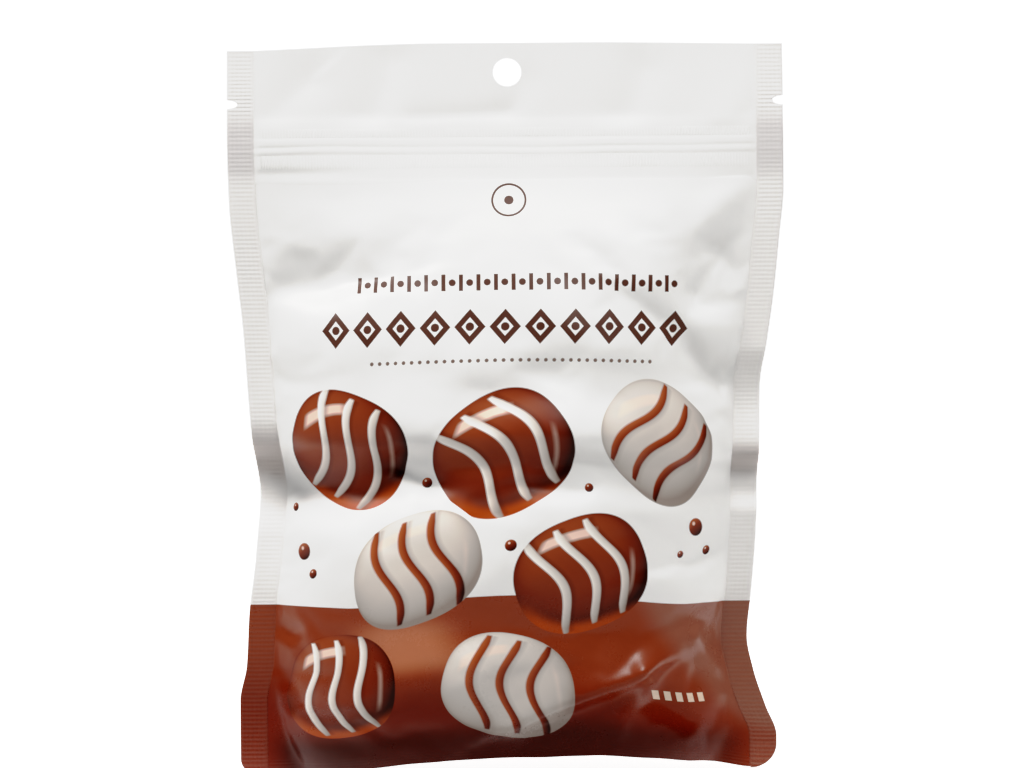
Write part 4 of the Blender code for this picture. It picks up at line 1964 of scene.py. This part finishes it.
@dataclass
class Studio:
    """Pale floor, soft light and the camera. The floor, the lamps and the aim are in metres.

    A lamp has its place and its power in watts. The room's light and glow are strengths.
    """

    camera_x: float = 1.4
    camera_z: float = 107.8
    distance: float = 800.0
    lens: float = 101.0
    sensor: float = 36.0
    roll_degrees: float = 0.45
    floor_size: float = 6.0
    sweep_from: float = 1.2
    sweep_rise: float = 0.9
    sweep_power: float = 1.6
    behind_from: tuple[float, float] = (-0.03, 0.004)
    paper: tuple[float, float] = (0.58, 0.62)
    paper_behind: float = 0.8
    paper_roughness: float = 0.9
    backdrop_glow: float = 1.05
    floor_glow: float = 0.05
    room_light: float = 0.155
    lamp_size: float = 0.40
    lamps: tuple[tuple[str, Triple, float], ...] = (
        ("left", (-0.81, -0.22, 1.10), 8.0),
        ("right", (0.48, -0.68, 1.10), 7.4),
        ("top", (-0.14, -0.38, 1.34), 4.9),
    )
    aim: Triple = (0.0, 0.0, 0.1)
    brightest: float = 1.3
    combined_curve: int = 3
    contrast: tuple[tuple[float, float], ...] = (
        (0.02, 0.003), (0.05, 0.024), (0.12, 0.108), (0.25, 0.26), (0.45, 0.46),
        (0.58, 0.655), (0.68, 0.79), (0.78, 0.84), (0.95, 0.885),
    )

    def floor(self) -> None:
        """Lay the pale floor that sweeps up far behind the pouch, with a lit backdrop."""
        Bench.deselect()
        bpy.ops.mesh.primitive_grid_add(
            x_subdivisions=8, y_subdivisions=24, size=self.floor_size, calc_uvs=False
        )
        floor = bpy.context.active_object
        floor.name = "floor"
        places = Bench.places(floor)
        beyond = np.maximum(places[:, 1] - self.sweep_from, 0.0)
        places[:, 2] = self.sweep_rise * beyond**self.sweep_power
        Bench.place(floor, places)
        Bench.take(floor)
        bpy.ops.object.shade_smooth()
        floor.data.materials.append(self.floor_paper())

    def floor_paper(self) -> bpy.types.Material:
        """Make the paper, darker in front of the pouch than behind it.

        Returns:
            The floor's material.
        """
        material = bpy.data.materials.new("floor_paper")
        board = NodeBoard(material)
        place = board.add("ShaderNodeTexCoord").outputs["Object"]
        split = board.add("ShaderNodeSeparateXYZ", None, {0: place})
        behind = board.ramp(Term(board, split.outputs["Y"]), *self.behind_from)
        darker, lighter = ((level,) * 3 for level in self.paper)
        paper = board.blend(board.noise(scale=300.0, detail=2.0), darker, lighter)
        board.surface({
            "Base Color": board.blend(behind, paper, (self.paper_behind,) * 3),
            "Roughness": self.paper_roughness,
            "Emission Color": board.blend(behind, (self.floor_glow,) * 3, (self.backdrop_glow,) * 3),
            "Emission Strength": 1.0,
        })
        return material

    def light(self) -> None:
        """Light the pale room and hang its soft lamps."""
        world = bpy.data.worlds.new("room")
        bpy.context.scene.world = world
        world.use_nodes = True
        tree = world.node_tree
        tree.nodes.clear()
        background = tree.nodes.new("ShaderNodeBackground")
        background.inputs["Strength"].default_value = self.room_light
        output = tree.nodes.new("ShaderNodeOutputWorld")
        tree.links.new(background.outputs[0], output.inputs["Surface"])
        for name, place, power in self.lamps:
            self.lamp(name, place, power)

    def lamp(self, name: str, place: Triple, power: float) -> None:
        """Hang one square soft lamp that faces the pouch.

        Args:
            name: Name of the lamp.
            place: Where it hangs, in metres.
            power: Its power in watts.
        """
        light = bpy.data.lights.new(name, "AREA")
        light.shape = "SQUARE"
        light.size = self.lamp_size
        light.energy = power
        lamp = bpy.data.objects.new(name, light)
        bpy.context.scene.collection.objects.link(lamp)
        lamp.location = place
        towards = Vector(self.aim) - Vector(place)
        lamp.rotation_euler = towards.to_track_quat("-Z", "Y").to_euler()

    def camera(self) -> None:
        """Set up the level camera straight in front, a little rolled, as in the photograph."""
        data = bpy.data.cameras.new("camera")
        data.lens = self.lens
        data.sensor_width = self.sensor
        camera = bpy.data.objects.new("camera", data)
        bpy.context.scene.collection.objects.link(camera)
        camera.location = (self.camera_x * MM, -self.distance * MM, self.camera_z * MM)
        camera.rotation_euler = (math.pi / 2, math.radians(self.roll_degrees), 0.0)
        bpy.context.scene.camera = camera

    def print_contrast(self, view: bpy.types.ColorManagedViewSettings) -> None:
        """Give the picture the contrast of a printed photograph, with even pale tones.

        Args:
            view: The scene's view settings.
        """
        view.use_curve_mapping = True
        mapping = view.curve_mapping
        mapping.white_level = (self.brightest,) * 3
        for light, shown in self.contrast:
            mapping.curves[self.combined_curve].points.new(light / self.brightest, shown)
        mapping.update()

    def build(self) -> None:
        """Set up the room."""
        scene = bpy.context.scene
        scene.view_settings.view_transform = "Standard"
        scene.view_settings.look = "None"
        self.print_contrast(scene.view_settings)
        self.floor()
        self.light()
        self.camera()


@dataclass
class Pouch:
    """The whole pouch. The corner of its right side seal is worn rounder than the other."""

    form: PouchForm = PouchForm()
    worn_corner_radius: float = 7.0

    def build(self) -> None:
        """Build every piece in order."""
        film = FilmFinish().dress()
        FilmSkin(self.form).build(film)
        Header(self.form).build(film)
        SideSeal(self.form, Side.LEFT).build(film)
        SideSeal(self.form, Side.RIGHT, corner_radius=self.worn_corner_radius).build(film)
        for face in Face:
            for track in Track:
                StripRibs(self.form, face, track).build(film)


def main() -> None:
    """Dress the frame and light it."""
    logging.basicConfig(level=logging.INFO, format="%(name)s: %(message)s")
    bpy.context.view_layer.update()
    Pouch().build()
    Studio().build()
    bpy.context.view_layer.update()


if __name__ == "__main__":
    main()
